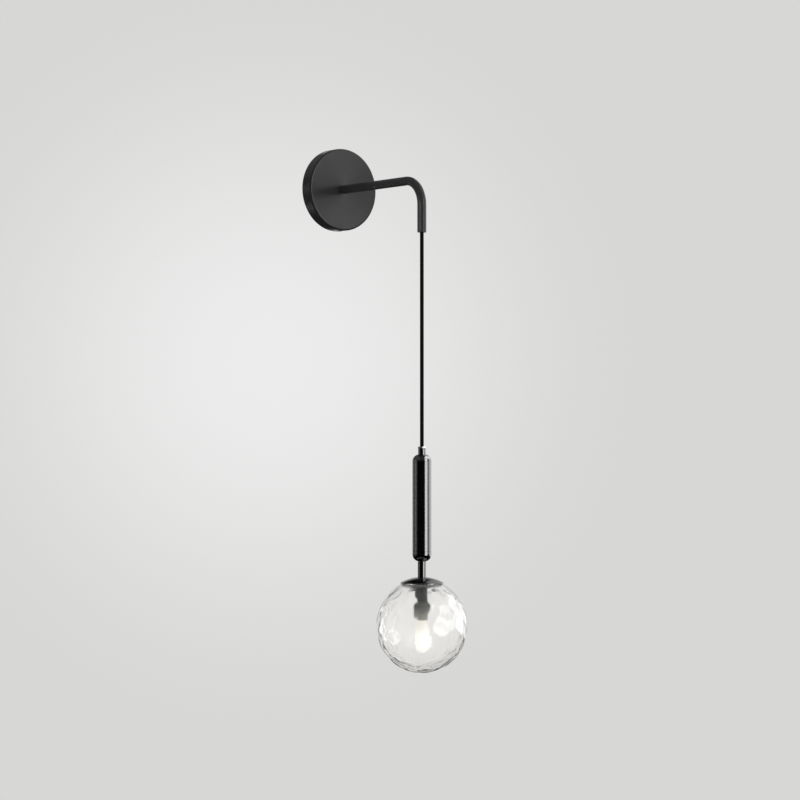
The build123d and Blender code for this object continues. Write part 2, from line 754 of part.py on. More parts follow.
def make_lamp_holder():
    """Ceramic holder: two sockets, a wire hole over each, and two screw holes."""
    holder = disc(holder_radius, holder_bottom, holder_top)
    head_top = holder_bottom + holder_screw_head_height
    for side in (-1, 1):
        pin_y = side * pin_spacing / 2
        socket_y = (pin_y - socket_length / 2, pin_y + socket_length / 2)
        holder -= block((-socket_width / 2, socket_width / 2), socket_y, (holder_bottom, socket_top))
        holder -= Pos(0, pin_y, 0) * disc(core_radius + slip_fit, socket_top, holder_top)
        screw = Pos(side * holder_screw_place, 0, 0)
        holder -= screw * disc(holder_screw_radius + slip_fit, holder_bottom, holder_top)
        holder -= screw * disc(holder_screw_head_radius + slip_fit, holder_bottom, head_top)
    return drop_line * holder


def make_holder_contacts():
    """A bent strip beside each pin, hooked over at the top of its socket."""
    strips = Part()
    near = pin_wire_radius + running_gap
    foot = holder_bottom + contact_foot_gap
    hook = socket_top - contact_thickness
    for side in (-1, 1):
        pin_y = side * pin_spacing / 2
        y_range = (pin_y - contact_length / 2, pin_y + contact_length / 2)
        strips += block((near, near + contact_thickness), y_range, (foot, socket_top))
        strips += block((near, socket_width / 2), y_range, (hook, socket_top))
    return drop_line * strips


def make_holder_screws():
    """Two screws up through the holder into the bracket's feet."""
    seat = holder_bottom + holder_screw_head_height
    half_slot = fine_slot_width / 2
    screw = disc(holder_screw_radius, seat, holder_top + holder_bracket_gauge)
    screw += disc(holder_screw_head_radius, holder_bottom, seat)
    screw -= block((-holder_screw_head_radius, holder_screw_head_radius), (-half_slot, half_slot),
                   (holder_bottom, holder_bottom + fine_slot_depth))
    return drop_line * (Part() + [Pos(side * holder_screw_place, 0, 0) * screw for side in (-1, 1)])


def make_earth_tag():
    """Solder tag on the bracket's leg for the earth core."""
    return drop_line * block((tag_face, leg_inside), (-tag_width / 2, tag_width / 2), (tag_bottom, tag_top))


def make_lamp_leads():
    """Three cores down the rod: two into the holder, one to the earth tag."""
    spread = rod_bottom - lead_spread_drop
    gathered = spread - lead_spread_length
    leads = Part()
    for angle, side in ((120, 1), (240, -1)):
        x, y = core_offset(angle)
        pin_y = side * pin_spacing / 2
        route = [(x, y, cord_end), (x, y, spread), (0, pin_y, gathered), (0, pin_y, socket_top)]
        leads += wire_along(route, core_radius, core_bend_radius)
    x, y = core_offset(0)
    tag_line = tag_face - core_radius
    route = [(x, y, cord_end), (x, y, rod_bottom - earth_lead_drop),
             (tag_line, 0, tag_top - earth_lead_lap), (tag_line, 0, tag_bottom)]
    return drop_line * (leads + wire_along(route, core_radius, core_bend_radius))


# ---- Globe ----
def make_globe_seal():
    """Soft ring between the globe cap and the glass rim."""
    return drop_line * ring(neck_outer_radius, neck_radius + slip_fit, seal_seat, seal_seat + seal_thickness)


def make_glass_globe():
    """Blown globe with a ground rim and a neck threaded inside."""
    rim_outer = globe_radius * math.sqrt(1 - ((rim_height - globe_centre) / globe_half_height) ** 2)
    outside = globe_curve(0, rim_outer)
    inside = globe_curve(glass_wall, neck_outer_radius)
    rim = Polyline(outside @ 1, (neck_radius, rim_height), (neck_radius, neck_bottom),
                   (neck_outer_radius, neck_bottom), inside @ 1)
    glass = turned(outside, rim, inside, Line(outside @ 0, inside @ 0))
    thread = screw_thread(neck_radius, -1, neck_thread_turns, thread_start + thread_pitch / 2)
    return drop_line * (glass + thread)


# ---- Bulb ----
def make_bulb_envelope():
    """Frosted cover with a rounded foot and a hole above for the base."""
    cover = disc(bulb_radius, bulb_bottom, bulb_top)
    cover = fillet(cover.edges().sort_by(Axis.Z)[0], bulb_bottom_radius)
    cover = fillet(cover.edges().sort_by(Axis.Z)[-1], bulb_wall)
    room = disc(bulb_radius - bulb_wall, bulb_bottom + bulb_wall, bulb_top - bulb_wall)
    room = fillet(room.edges().sort_by(Axis.Z)[0], bulb_bottom_radius - bulb_wall)
    return drop_line * (cover - room - disc(bulb_base_radius + slip_fit, bulb_top - bulb_wall, bulb_top))


def pin_leg_places():
    """Y places of the four legs of the two looped pins."""
    return [side * pin_spacing / 2 + leg * pin_loop_width / 2 for side in (-1, 1) for leg in (-1, 1)]


def make_bulb_base():
    """Base plug with holes for the pins' legs."""
    base = disc(bulb_base_radius, base_bottom, base_top)
    base = chamfer(base.edges().sort_by(Axis.Z)[-1], bulb_base_bevel)
    for place in pin_leg_places():
        base -= Pos(0, place, 0) * disc(pin_wire_radius + thread_fit, base_top - pin_embed, base_top)
    return drop_line * base


def make_bulb_pins():
    """Two looped wire pins."""
    bend = pin_loop_width / 2
    foot = base_top - pin_embed + slip_fit
    shoulder = base_top + pin_length - pin_wire_radius - bend
    pins = Part()
    for side in (-1, 1):
        middle = side * pin_spacing / 2
        left = middle - bend
        right = middle + bend
        crown = (0, middle, shoulder + bend)
        loop = [Edge.make_line((0, left, foot), (0, left, shoulder)),
                Edge.make_three_point_arc((0, left, shoulder), crown, (0, right, shoulder)),
                Edge.make_line((0, right, shoulder), (0, right, foot))]
        path = Wire(loop)
        pins += sweep(Plane(origin=path @ 0, z_dir=path % 0) * Circle(pin_wire_radius), path=path)
    return drop_line * pins


def make_bulb_board():
    """Circuit board that stands inside the frosted cover."""
    half = board_width / 2
    return drop_line * block((-half, half), (-board_thickness / 2, board_thickness / 2),
                             (base_bottom - board_length, base_bottom))


def make_bulb_leds():
    """Rows of light chips on both faces of the board."""
    chips = Part()
    first = base_bottom - board_length + led_pitch / 2
    for row in range(int(board_length / led_pitch)):
        z = first + row * led_pitch
        for side in (-1, 1):
            face = side * board_thickness / 2
            y_range = sorted((face, face + side * led_thickness))
            chips += block((-led_size / 2, led_size / 2), y_range, (z, z + led_size))
    return drop_line * chips


# ---- Write each piece ----
pieces = {
    "canopy_cover": make_canopy_cover,
    "wall_bracket": make_wall_bracket,
    "canopy_screws": make_canopy_screws,
    "terminal_block": make_terminal_block,
    "terminal_clamps": make_terminal_clamps,
    "terminal_screws": make_terminal_screws,
    "block_screw": make_block_screw,
    "earth_screw": make_earth_screw,
    "earth_washer": make_earth_washer,
    "earth_lug": make_earth_lug,
    "arm_tube": make_arm_tube,
    "arm_nipple": make_arm_nipple,
    "arm_washer": make_arm_washer,
    "arm_lock_washer": make_arm_lock_washer,
    "arm_nut": make_arm_nut,
    "arm_cord_grip": make_arm_cord_grip,
    "arm_grip_screw": make_arm_grip_screw,
    "arm_lead": make_arm_lead,
    "arm_lead_cores": make_arm_lead_cores,
    "arm_end_bushing": make_arm_end_bushing,
    "cord_bend_upper": make_cord_bend_upper,
    "cord_bend_lower": make_cord_bend_lower,
    "pendant_cord": make_pendant_cord,
    "cord_ferrule": make_cord_ferrule,
    "cord_grip": make_cord_grip,
    "grip_collet": make_grip_collet,
    "upper_end_cap": make_upper_end_cap,
    "barrel_tube": make_barrel_tube,
    "lower_end_cap": make_lower_end_cap,
    "centre_rod": make_centre_rod,
    "stem_sleeve": make_stem_sleeve,
    "globe_cap": make_globe_cap,
    "globe_collar": make_globe_collar,
    "lamp_sleeve": make_lamp_sleeve,
    "rod_washer": make_rod_washer,
    "rod_nut": make_rod_nut,
    "holder_bracket": make_holder_bracket,
    "lamp_holder": make_lamp_holder,
    "holder_contacts": make_holder_contacts,
    "holder_screws": make_holder_screws,
    "earth_tag": make_earth_tag,
    "lamp_leads": make_lamp_leads,
    "globe_seal": make_globe_seal,
    "glass_globe": make_glass_globe,
    "bulb_envelope": make_bulb_envelope,
    "bulb_base": make_bulb_base,
    "bulb_pins": make_bulb_pins,
    "bulb_board": make_bulb_board,
    "bulb_leds": make_bulb_leds,
}

os.makedirs("parts", exist_ok=True)
for name, make in pieces.items():
    export_step(make(), f"parts/{name}.step")
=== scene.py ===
"""Looks of a hanging wall light, built round its frame.

Metres. The wall is y = 0, the room lies towards -y, and z is up. Sizes come from the frame's nodes.
"""

import logging
import math
import random
from dataclasses import dataclass
from enum import Enum
from functools import cache, partial, reduce

import bmesh
import bpy
import numpy as np
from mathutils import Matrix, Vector


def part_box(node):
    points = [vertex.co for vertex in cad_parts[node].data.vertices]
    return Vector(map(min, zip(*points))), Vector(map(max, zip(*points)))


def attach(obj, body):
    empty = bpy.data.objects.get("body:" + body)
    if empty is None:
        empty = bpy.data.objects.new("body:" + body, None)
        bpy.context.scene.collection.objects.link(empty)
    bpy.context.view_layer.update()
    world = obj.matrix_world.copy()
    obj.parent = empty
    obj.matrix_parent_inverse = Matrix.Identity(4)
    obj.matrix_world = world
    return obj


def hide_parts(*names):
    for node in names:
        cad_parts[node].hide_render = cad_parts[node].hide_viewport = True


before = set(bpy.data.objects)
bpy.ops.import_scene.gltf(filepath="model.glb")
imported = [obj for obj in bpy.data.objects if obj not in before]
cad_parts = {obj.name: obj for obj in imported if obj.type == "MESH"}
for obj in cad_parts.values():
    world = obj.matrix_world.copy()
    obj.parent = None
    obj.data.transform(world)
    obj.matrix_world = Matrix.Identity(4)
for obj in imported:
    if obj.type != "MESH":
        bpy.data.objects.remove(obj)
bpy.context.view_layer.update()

LOG = logging.getLogger("wall_light")
MM = 0.001
WELD = 0.0001 * MM

Triple = tuple[float, float, float]
Colour = Triple
Outline = list[tuple[float, float]]
Socket = bpy.types.NodeSocket


# ---- Where things are ----
@dataclass(frozen=True)
class Extent:
    """The box that one frame node fills at rest."""

    low: Vector
    high: Vector

    @classmethod
    def of(cls, node: str) -> "Extent":
        """Measures a frame node by its name."""
        return cls(*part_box(node))

    @property
    def centre(self) -> Vector:
        """Middle of the box."""
        return (self.low + self.high) / 2

    @property
    def radius(self) -> float:
        """Half the box's width along the wall."""
        return (self.high.x - self.low.x) / 2

    @property
    def top(self) -> float:
        """Height of the box's upper face."""
        return self.high.z

    @property
    def bottom(self) -> float:
        """Height of the box's lower face."""
        return self.low.z


LAMP_LINE_Y = Extent.of("pendant_cord").centre.y


# ---- Meshes ----
def circle(count: int) -> np.ndarray:
    """Returns angles at even steps round a circle."""
    return np.arange(count) * math.tau / count


def upright_ring(radius: float | np.ndarray, height: float, turns: np.ndarray,
                 y: float = LAMP_LINE_Y) -> np.ndarray:
    """Returns points round the vertical line at y, at one distance from it or one for each turn."""
    places = np.broadcast_arrays(radius * np.cos(turns), y + radius * np.sin(turns), height)
    return np.stack(places, axis=-1)


def rounded(corners: list[Triple], steps: int = 6) -> Outline:
    """Rounds the corners of a closed outline.

    Args:
        corners: radius, height and rounding of each corner, in order.
        steps: straight pieces in each rounding.

    Returns:
        The outline's points, in the same order.
    """
    points: Outline = []
    for index, (radius, height, rounding) in enumerate(corners):
        if rounding <= 0:
            points.append((radius, height))
            continue
        here = Vector((radius, height))
        before = (Vector(corners[index - 1][:2]) - here).normalized()
        after = (Vector(corners[(index + 1) % len(corners)][:2]) - here).normalized()
        half = before.angle(after) / 2
        middle = here + (before + after).normalized() * rounding / math.sin(half)
        start = (here + before * rounding / math.tan(half) - middle).normalized()
        end = (here + after * rounding / math.tan(half) - middle).normalized()
        points += [tuple(middle + start.slerp(end, step / steps) * rounding) for step in range(steps + 1)]
    return points


def place(name: str, data: bpy.types.ID | None) -> bpy.types.Object:
    """Puts a new object in the scene.

    Args:
        name: the object's name.
        data: its mesh, curve, lamp or camera.

    Returns:
        The object.
    """
    thing = bpy.data.objects.new(name, data)
    bpy.context.scene.collection.objects.link(thing)
    return thing


def skin(name: str, rows: list | np.ndarray, closed: bool, sharp_degrees: float = 40.0) -> bpy.types.Object:
    """Makes a mesh from rings of points.

    Args:
        name: the object's name.
        rows: rings of equally many points; each ring closes on itself.
        closed: whether the last ring joins the first.
        sharp_degrees: angle between faces above which an edge stays crisp.

    Returns:
        The new object, in the scene.
    """
    points = np.asarray(rows, float)
    count, width = points.shape[:2]
    here = np.arange(count * width).reshape(count, width)
    following = np.roll(here, -1, axis=0)
    if not closed:
        here, following = here[:-1], following[:-1]
    faces = np.stack([here, np.roll(here, -1, axis=1), np.roll(following, -1, axis=1), following], axis=-1)
    mesh = bpy.data.meshes.new(name)
    mesh.from_pydata(points.reshape(-1, 3).tolist(), [], faces.reshape(-1, 4).tolist())
    shape = bmesh.new()
    shape.from_mesh(mesh)
    bmesh.ops.remove_doubles(shape, verts=shape.verts, dist=WELD)
    bmesh.ops.recalc_face_normals(shape, faces=shape.faces)
    shape.to_mesh(mesh)
    shape.free()
    mesh.shade_smooth()
    mesh.set_sharp_from_angle(angle=math.radians(sharp_degrees))
    return place(name, mesh)


def keep_flat(piece: bpy.types.Object) -> None:
    """Lets broad faces keep their own normals beside small roundings."""
    piece.modifiers.new("even_normals", "WEIGHTED_NORMAL").keep_sharp = True


def lathe(name: str, outline: Outline, segments: int = 128, closed: bool = True,
          from_wall: bool = False) -> bpy.types.Object:
    """Turns an outline about the line that the lamp hangs on, or about the arm's root.

    Args:
        name: the object's name.
        outline: radius and height of each point, or radius and distance from the wall.
        segments: points round the line.
        closed: whether the outline's last point joins the first.
        from_wall: whether the line stands out from the wall through the arm's root.

    Returns:
        The new object, in the scene.
    """
    line = 0.0 if from_wall else LAMP_LINE_Y
    rows = np.array([upright_ring(radius, height, circle(segments), line) for radius, height in outline])
    if from_wall:
        rows = rows[..., [0, 2, 1]] * np.array([1, -1, 1])
    piece = skin(name, rows, closed)
    keep_flat(piece)
    return piece


def islands(mesh: bpy.types.Mesh) -> list[list[int]]:
    """Sorts a mesh's faces into its separate solids.

    Args:
        mesh: the mesh to sort.

    Returns:
        The face numbers of each solid, lowest face number first.
    """
    shape = bmesh.new()
    shape.from_mesh(mesh)
    bmesh.ops.remove_doubles(shape, verts=shape.verts, dist=WELD)
    shape.faces.ensure_lookup_table()
    seen: set[int] = set()
    groups: list[list[int]] = []
    for face in shape.faces:
        if face.index in seen:
            continue
        group, waiting = [], [face]
        seen.add(face.index)
        while waiting:
            current = waiting.pop()
            group.append(current.index)
            for other in (near for edge in current.edges for near in edge.link_faces):
                if other.index not in seen:
                    seen.add(other.index)
                    waiting.append(other)
        groups.append(sorted(group))
    shape.free()
    return groups


# ---- Shader nodes ----
class Graph:
    """Adds nodes to one shader tree and joins them."""

    def __init__(self, tree: bpy.types.NodeTree) -> None:
        """Keeps the tree to work on."""
        self.tree = tree

    def feed(self, socket: Socket, value: object) -> None:
        """Joins an output to an input, or sets the input's own value.

        Args:
            socket: the input.
            value: an output socket, a number, a vector or a colour.
        """
        if isinstance(value, Socket):
            self.tree.links.new(value, socket)
        elif socket.type == "RGBA" and len(value) == 3:
            socket.default_value = (*value, 1.0)
        else:
            socket.default_value = value

    def add(self, kind: str, feeds: dict[int | str, object] | None = None,
            **settings: object) -> bpy.types.Node:
        """Adds a node.

        Args:
            kind: the node's type.
            feeds: what goes into its inputs, by name or number.
            **settings: the node's own properties.

        Returns:
            The new node.
        """
        node = self.tree.nodes.new(kind)
        for name, value in settings.items():
            setattr(node, name, value)
        for key, value in (feeds or {}).items():
            self.feed(node.inputs[key], value)
        return node

    def math(self, operation: str, first: object, second: object = 0.0) -> Socket:
        """Calculates with one or two numbers."""
        return self.add("ShaderNodeMath", {0: first, 1: second}, operation=operation).outputs[0]

    def product(self, *values: object) -> Socket:
        """Multiplies numbers."""
        return reduce(partial(self.math, "MULTIPLY"), values)

    def weigh(self, share: float, first: object, second: object) -> Socket:
        """Adds the first number's share to the rest of the second."""
        return self.math("ADD", self.product(first, share), self.product(second, 1 - share))

    def vector(self, operation: str, first: object, second: object = (0.0, 0.0, 0.0)) -> Socket:
        """Calculates with one or two vectors, and gives a number or a vector."""
        node = self.add("ShaderNodeVectorMath", {0: first, 1: second}, operation=operation)
        return node.outputs["Value" if operation in ("DOT_PRODUCT", "LENGTH") else "Vector"]

    def part(self, axis: str, vector: Socket) -> Socket:
        """Returns a vector's X, Y or Z."""
        return self.add("ShaderNodeSeparateXYZ", {0: vector}).outputs[axis]

    def own_place(self) -> Socket:
        """Returns the object's own coordinates."""
        return self.add("ShaderNodeTexCoord").outputs["Object"]

    def spread(self, value: object, low: object, high: object, to_low: object = 0.0,
               to_high: object = 1.0) -> Socket:
        """Maps low to high smoothly onto to_low to to_high, and stops at the ends."""
        feeds = dict(enumerate((value, low, high, to_low, to_high)))
        return self.add("ShaderNodeMapRange", feeds, interpolation_type="SMOOTHSTEP").outputs[0]

    def blend(self, share: object, first: object, second: object) -> Socket:
        """Mixes two colours, by the share of the second."""
        return self.add("ShaderNodeMix", {0: share, 6: first, 7: second}, data_type="RGBA").outputs[2]

    def noise(self, where: Socket, scale: object, detail: float = 2.0) -> Socket:
        """Returns noise of a fineness per metre, about 0.5 on average."""
        return self.add("ShaderNodeTexNoise", {"Vector": where, "Scale": scale, "Detail": detail}).outputs[0]

    def bump(self, height: Socket, distance: float, below: Socket | None = None) -> Socket:
        """Tilts the surface as a relief of a height does, over the relief below it."""
        over = {"Normal": below} if below else {}
        return self.add("ShaderNodeBump", {"Height": height, "Distance": distance} | over).outputs[0]

    def emission(self, colour: object) -> Socket:
        """Adds plain light of a colour."""
        return self.add("ShaderNodeEmission", {"Color": colour}).outputs[0]

    def shader_blend(self, share: object, first: Socket, second: Socket) -> Socket:
        """Mixes two shaders, by the share of the second."""
        return self.add("ShaderNodeMixShader", {0: share, 1: first, 2: second}).outputs[0]


class Effect(Enum):
    """Effects that finishes share: name, kinds of the inputs, and outputs of each group."""

    GRAIN = ("fine_grain", {"Scale": "Float"}, ("Height", "Mask"))
    EDGE = ("thin_edge", {"Width": "Float", "Amount": "Float"}, ("Mask",))
    DUST = ("settled_dust", {"Scale": "Float", "Amount": "Float"}, ("Mask",))
    MARKS = ("handling_marks", {"Scale": "Float", "Amount": "Float"}, ("Mask",))
    RINGS = ("turning_rings", {"Fineness": "Float"}, ("Height",))
    STREAKS = ("drawn_streaks", {"Stretch": "Vector"}, ("Height", "Mask"))
    RISE = ("rise_fade", {"Low": "Float", "High": "Float"}, ("Mask",))


class EffectGroup(Graph):
    """Shader node group of one effect. A method named like the effect draws it."""

    def __init__(self, effect: Effect) -> None:
        """Makes the group with its sockets and draws the effect.

        Args:
            effect: the effect.
        """
        name, inputs, outputs = effect.value
        super().__init__(bpy.data.node_groups.new(name, "ShaderNodeTree"))
        for socket, kind in inputs.items():
            self.tree.interface.new_socket(socket, in_out="INPUT", socket_type=f"NodeSocket{kind}")
        for socket in outputs:
            self.tree.interface.new_socket(socket, in_out="OUTPUT", socket_type="NodeSocketFloat")
        self.given = self.add("NodeGroupInput").outputs
        self.result = self.add("NodeGroupOutput").inputs
        getattr(self, effect.name.lower())()

    def give(self, **values: Socket) -> None:
        """Sends values to the outputs of those names."""
        for name, value in values.items():
            self.feed(self.result[name], value)

    def grain(self) -> None:
        """Fine grain of a sprayed or moulded surface."""
        where = self.own_place()
        soft = self.noise(where, self.given["Scale"], 3.0)
        cell_scale = self.product(self.given["Scale"], 0.6)
        cells = self.add("ShaderNodeTexVoronoi", {"Vector": where, "Scale": cell_scale})
        height = self.weigh(0.65, soft, cells.outputs["Distance"])
        self.give(Height=height, Mask=self.spread(soft, 0.35, 0.65))

    def edge(self) -> None:
        """Mask along outer edges, where a coat is thin."""
        bevel = self.add("ShaderNodeBevel", {"Radius": self.given["Width"]}, samples=4).outputs[0]
        turned = self.vector("DOT_PRODUCT", bevel, self.add("ShaderNodeNewGeometry").outputs["Normal"])
        patches = self.spread(self.noise(self.own_place(), 350.0), 0.4, 0.65)
        self.give(Mask=self.product(self.spread(turned, 0.995, 0.85), patches, self.given["Amount"]))

    def dust(self) -> None:
        """Mask of dust on faces that look up."""
        upward = self.part("Z", self.add("ShaderNodeTexCoord").outputs["Normal"])
        specks = self.spread(self.noise(self.own_place(), self.given["Scale"], 4.0), 0.42, 0.7)
        self.give(Mask=self.product(self.spread(upward, 0.25, 0.95), specks, self.given["Amount"]))

    def marks(self) -> None:
        """Mask of faint smudges left by hands and cloths."""
        where = self.own_place()
        broad = self.noise(where, self.given["Scale"], 2.0)
        fine = self.noise(where, self.product(self.given["Scale"], 7.0), 3.0)
        smudges = self.spread(self.weigh(0.7, broad, fine), 0.4, 0.62)
        self.give(Mask=self.product(smudges, self.given["Amount"]))

    def rings(self) -> None:
        """Uneven rings round the arm's root, as a spinning tool leaves them."""
        radius = self.vector("LENGTH", self.vector("MULTIPLY", self.own_place(), (1.0, 0.0, 1.0)))
        along = self.add("ShaderNodeCombineXYZ", {0: radius}).outputs[0]
        self.give(Height=self.noise(along, self.given["Fineness"], 3.0))

    def streaks(self) -> None:
        """Fine streaks, as drawing or brushing leaves them."""
        lines = self.noise(self.vector("MULTIPLY", self.own_place(), self.given["Stretch"]), 1.0, 3.0)
        self.give(Height=lines, Mask=self.spread(lines, 0.38, 0.66))

    def rise(self) -> None:
        """Mask that grows with height between two levels."""
        height = self.part("Z", self.own_place())
        self.give(Mask=self.spread(height, self.given["Low"], self.given["High"]))


@cache
def effect_tree(effect: Effect) -> bpy.types.NodeTree:
    """Returns an effect's group, built at first use."""
    return EffectGroup(effect).tree


# ---- Finishes ----
@dataclass(frozen=True)
class Layer:
    """An effect with its inputs, and what its mask and its height do to a finish."""

    effect: Effect
    inputs: dict[str, object]
    colour: Colour | None = None
    glow: Colour | None = None
    dulling: float = 0.0
    relief: float = 0.0


@dataclass(frozen=True)
class Finish:
    """Surface of one colour under layers of shared effects."""

    name: str
    colour: Colour
    roughness: float
    metallic: float = 0.0
    specular: float = 0.5

    def layers(self) -> list[Layer]:
        """Lists the effects, from the lowest to the uppermost."""
        return []

    def sockets(self, graph: Graph) -> dict[str, object]:
        """Lists the shader's other inputs."""
        return {"Metallic": self.metallic, "Specular IOR Level": self.specular}

    def toned(self, share: float) -> Colour:
        """Returns the colour, lighter by a share."""
        return tuple(channel * share for channel in self.colour)

    def material(self) -> bpy.types.Material:
        """Builds the material, or finds it once it is built.

        Returns:
            The material.
        """
        known = bpy.data.materials.get(self.name)
        if known:
            return known
        material = bpy.data.materials.new(self.name)
        material.use_nodes = True
        graph = Graph(material.node_tree)
        values = {"Base Color": self.colour, "Roughness": self.roughness, **self.sockets(graph)}
        for layer in self.layers():
            made = graph.add("ShaderNodeGroup", layer.inputs, node_tree=effect_tree(layer.effect)).outputs
            if layer.colour:
                values["Base Color"] = graph.blend(made["Mask"], values["Base Color"], layer.colour)
            if layer.glow:
                values["Emission Color"] = graph.blend(made["Mask"], values["Emission Color"], layer.glow)
            if layer.dulling:
                dullest = self.roughness + layer.dulling
                values["Roughness"] = graph.spread(made["Mask"], 0.0, 1.0, self.roughness, dullest)
            if layer.relief:
                values["Normal"] = graph.bump(made["Height"], layer.relief, values.get("Normal"))
        shader = material.node_tree.nodes["Principled BSDF"]
        for name, value in values.items():
            graph.feed(shader.inputs[name], value)
        return material


@dataclass(frozen=True)
class SatinPaint(Finish):
    """Sprayed satin paint on metal."""

    specular: float = 0.35
    thin_colour: Colour = (0.16, 0.16, 0.16)
    edge_amount: float = 0.5

    def layers(self) -> list[Layer]:
        """Lists the grain, the thin edges, a little dust and faint smudges.

        Returns:
            The layers, from the lowest.
        """
        return [Layer(Effect.GRAIN, {"Scale": 1500.0}, colour=self.toned(1.2), relief=0.000012),
                Layer(Effect.EDGE, {"Width": 0.0005, "Amount": self.edge_amount}, colour=self.thin_colour),
                Layer(Effect.DUST, {"Scale": 900.0, "Amount": 0.12}, colour=(0.32, 0.31, 0.29)),
                Layer(Effect.MARKS, {"Scale": 38.0, "Amount": 1.0}, dulling=0.07)]


@dataclass(frozen=True)
class ShadedTopPaint(SatinPaint):
    """Satin paint of the lamp sleeve, with painted shade that darkens it towards its top."""

    painted_shade_colour: Colour = (0.006, 0.006, 0.0055)
    low: float = Extent.of("lamp_sleeve").bottom + 1 * MM
    high: float = Extent.of("lamp_sleeve").bottom + 26 * MM

    def layers(self) -> list[Layer]:
        """Lists the paint's own layers, with the painted shade of the top over the grain.

        Returns:
            The layers, from the lowest.
        """
        grain, *others = super().layers()
        # Painted shade: the sleeve's colour darkens from low to high, standing in for the cap's shade and
        # the bulb lighting its foot.
        darker = Layer(Effect.RISE, {"Low": self.low, "High": self.high}, colour=self.painted_shade_colour)
        return [grain, darker, *others]


@dataclass(frozen=True)
class SpunPaint(SatinPaint):
    """Satin paint over spun sheet, whose rings stretch the highlights."""

    def layers(self) -> list[Layer]:
        """Lists the rings under the paint's own layers."""
        return [Layer(Effect.RINGS, {"Fineness": 2600.0}, relief=0.000006), *super().layers()]

    def sockets(self, graph: Graph) -> dict[str, object]:
        """Adds the stretched highlights."""
        tangent = graph.add("ShaderNodeTangent", direction_type="RADIAL", axis="Y").outputs[0]
        return super().sockets(graph) | {"Anisotropic": 0.6, "Tangent": tangent}


@dataclass(frozen=True)
class PolishedBlack(Finish):
    """Polished black nickel plate."""

    metallic: float = 1.0

    def layers(self) -> list[Layer]:
        """Lists fine polishing rings, smudges and a trace of dust.

        Returns:
            The layers, from the lowest.
        """
        return [Layer(Effect.STREAKS, {"Stretch": (60.0, 60.0, 2500.0)}, colour=self.toned(1.08),
                      relief=0.00000015),
                Layer(Effect.MARKS, {"Scale": 55.0, "Amount": 1.0}, dulling=0.03),
                Layer(Effect.DUST, {"Scale": 1500.0, "Amount": 0.03}, colour=(0.3, 0.3, 0.29))]


@dataclass(frozen=True)
class BareMetal(Finish):
    """Bare or plated metal."""

    metallic: float = 1.0
    stain: Colour = (0.3, 0.3, 0.3)
    stretch: Triple = (400.0, 400.0, 4000.0)

    def layers(self) -> list[Layer]:
        """Lists streaks and stains."""
        return [Layer(Effect.STREAKS, {"Stretch": self.stretch}, dulling=0.12, relief=0.000004),
                Layer(Effect.MARKS, {"Scale": 160.0, "Amount": 0.6}, colour=self.stain)]


@dataclass(frozen=True)
class Moulded(Finish):
    """Moulded plastic, rubber or pressed ceramic."""

    cloud: Colour = (0.5, 0.5, 0.5)
    grain_scale: float = 2200.0
    grain_height: float = 0.00001
    translucency: float = 0.0

    def layers(self) -> list[Layer]:
        """Lists a moulded grain and a cloudy second colour."""
        return [Layer(Effect.GRAIN, {"Scale": self.grain_scale}, dulling=0.1, relief=self.grain_height),
                Layer(Effect.MARKS, {"Scale": 120.0, "Amount": 0.5}, colour=self.cloud)]

    def sockets(self, graph: Graph) -> dict[str, object]:
        """Adds the light that soaks in, to a depth of 2 mm."""
        soaked = {"Subsurface Weight": self.translucency, "Subsurface Scale": 2 * MM}
        return super().sockets(graph) | (soaked if self.translucency else {})


@dataclass(frozen=True)
class Sheath(Finish):
    """Extruded sheath of a cord."""

    specular: float = 0.05

    def layers(self) -> list[Layer]:
        """Lists die lines along the cord and faint smudges.

        Returns:
            The layers, from the lowest.
        """
        return [Layer(Effect.STREAKS, {"Stretch": (3500.0, 3500.0, 25.0)}, colour=self.toned(1.7),
                      relief=0.000002),
                Layer(Effect.MARKS, {"Scale": 90.0, "Amount": 1.0}, dulling=0.12)]


@dataclass(frozen=True)
class ClearGlass(Finish):
    """Clear blown glass."""

    flow_scale: float = 55.0
    flow_height: float = 0.00012

    def layers(self) -> list[Layer]:
        """Lists faint smudges."""
        return [Layer(Effect.MARKS, {"Scale": 30.0, "Amount": 1.0}, dulling=0.012)]

    def sockets(self, graph: Graph) -> dict[str, object]:
        """Adds clear transmission and the flow in the skin."""
        flow = graph.bump(graph.noise(graph.own_place(), self.flow_scale, 1.0), self.flow_height)
        return super().sockets(graph) | {"Transmission Weight": 1.0, "IOR": 1.5, "Normal": flow}


@dataclass(frozen=True)
class Glowing(Finish):
    """Surface that gives light."""

    glow: Colour = (1.0, 1.0, 1.0)
    strength: float = 1.0

    def sockets(self, graph: Graph) -> dict[str, object]:
        """Adds the glow."""
        return super().sockets(graph) | {"Emission Color": self.glow, "Emission Strength": self.strength}


@dataclass(frozen=True)
class LitCover(Glowing):
    """Frosted cover with a lamp behind it, dimmer towards its top."""

    glow_top: Colour = (0.83, 0.8, 0.72)
    dimming_share: float = 0.45
    extent: Extent = Extent.of("bulb_envelope")

    def layers(self) -> list[Layer]:
        """Lists a frosted grain and the dimmer top.

        Returns:
            The layers, from the lowest.
        """
        dimming = {"Low": self.extent.top - self.dimming_share * (self.extent.top - self.extent.bottom),
                   "High": self.extent.top}
        return [Layer(Effect.GRAIN, {"Scale": 2600.0}, dulling=0.12, relief=0.00001),
                Layer(Effect.RISE, dimming, glow=self.glow_top)]


@dataclass(frozen=True)
class LedChip(Glowing):
    """Phosphor-covered chips on the board."""

    def layers(self) -> list[Layer]:
        """Lists a grainy phosphor that glows unevenly."""
        return [Layer(Effect.GRAIN, {"Scale": 3000.0}, colour=(0.95, 0.84, 0.45), glow=(1.0, 0.94, 0.76),
                      relief=0.00002)]


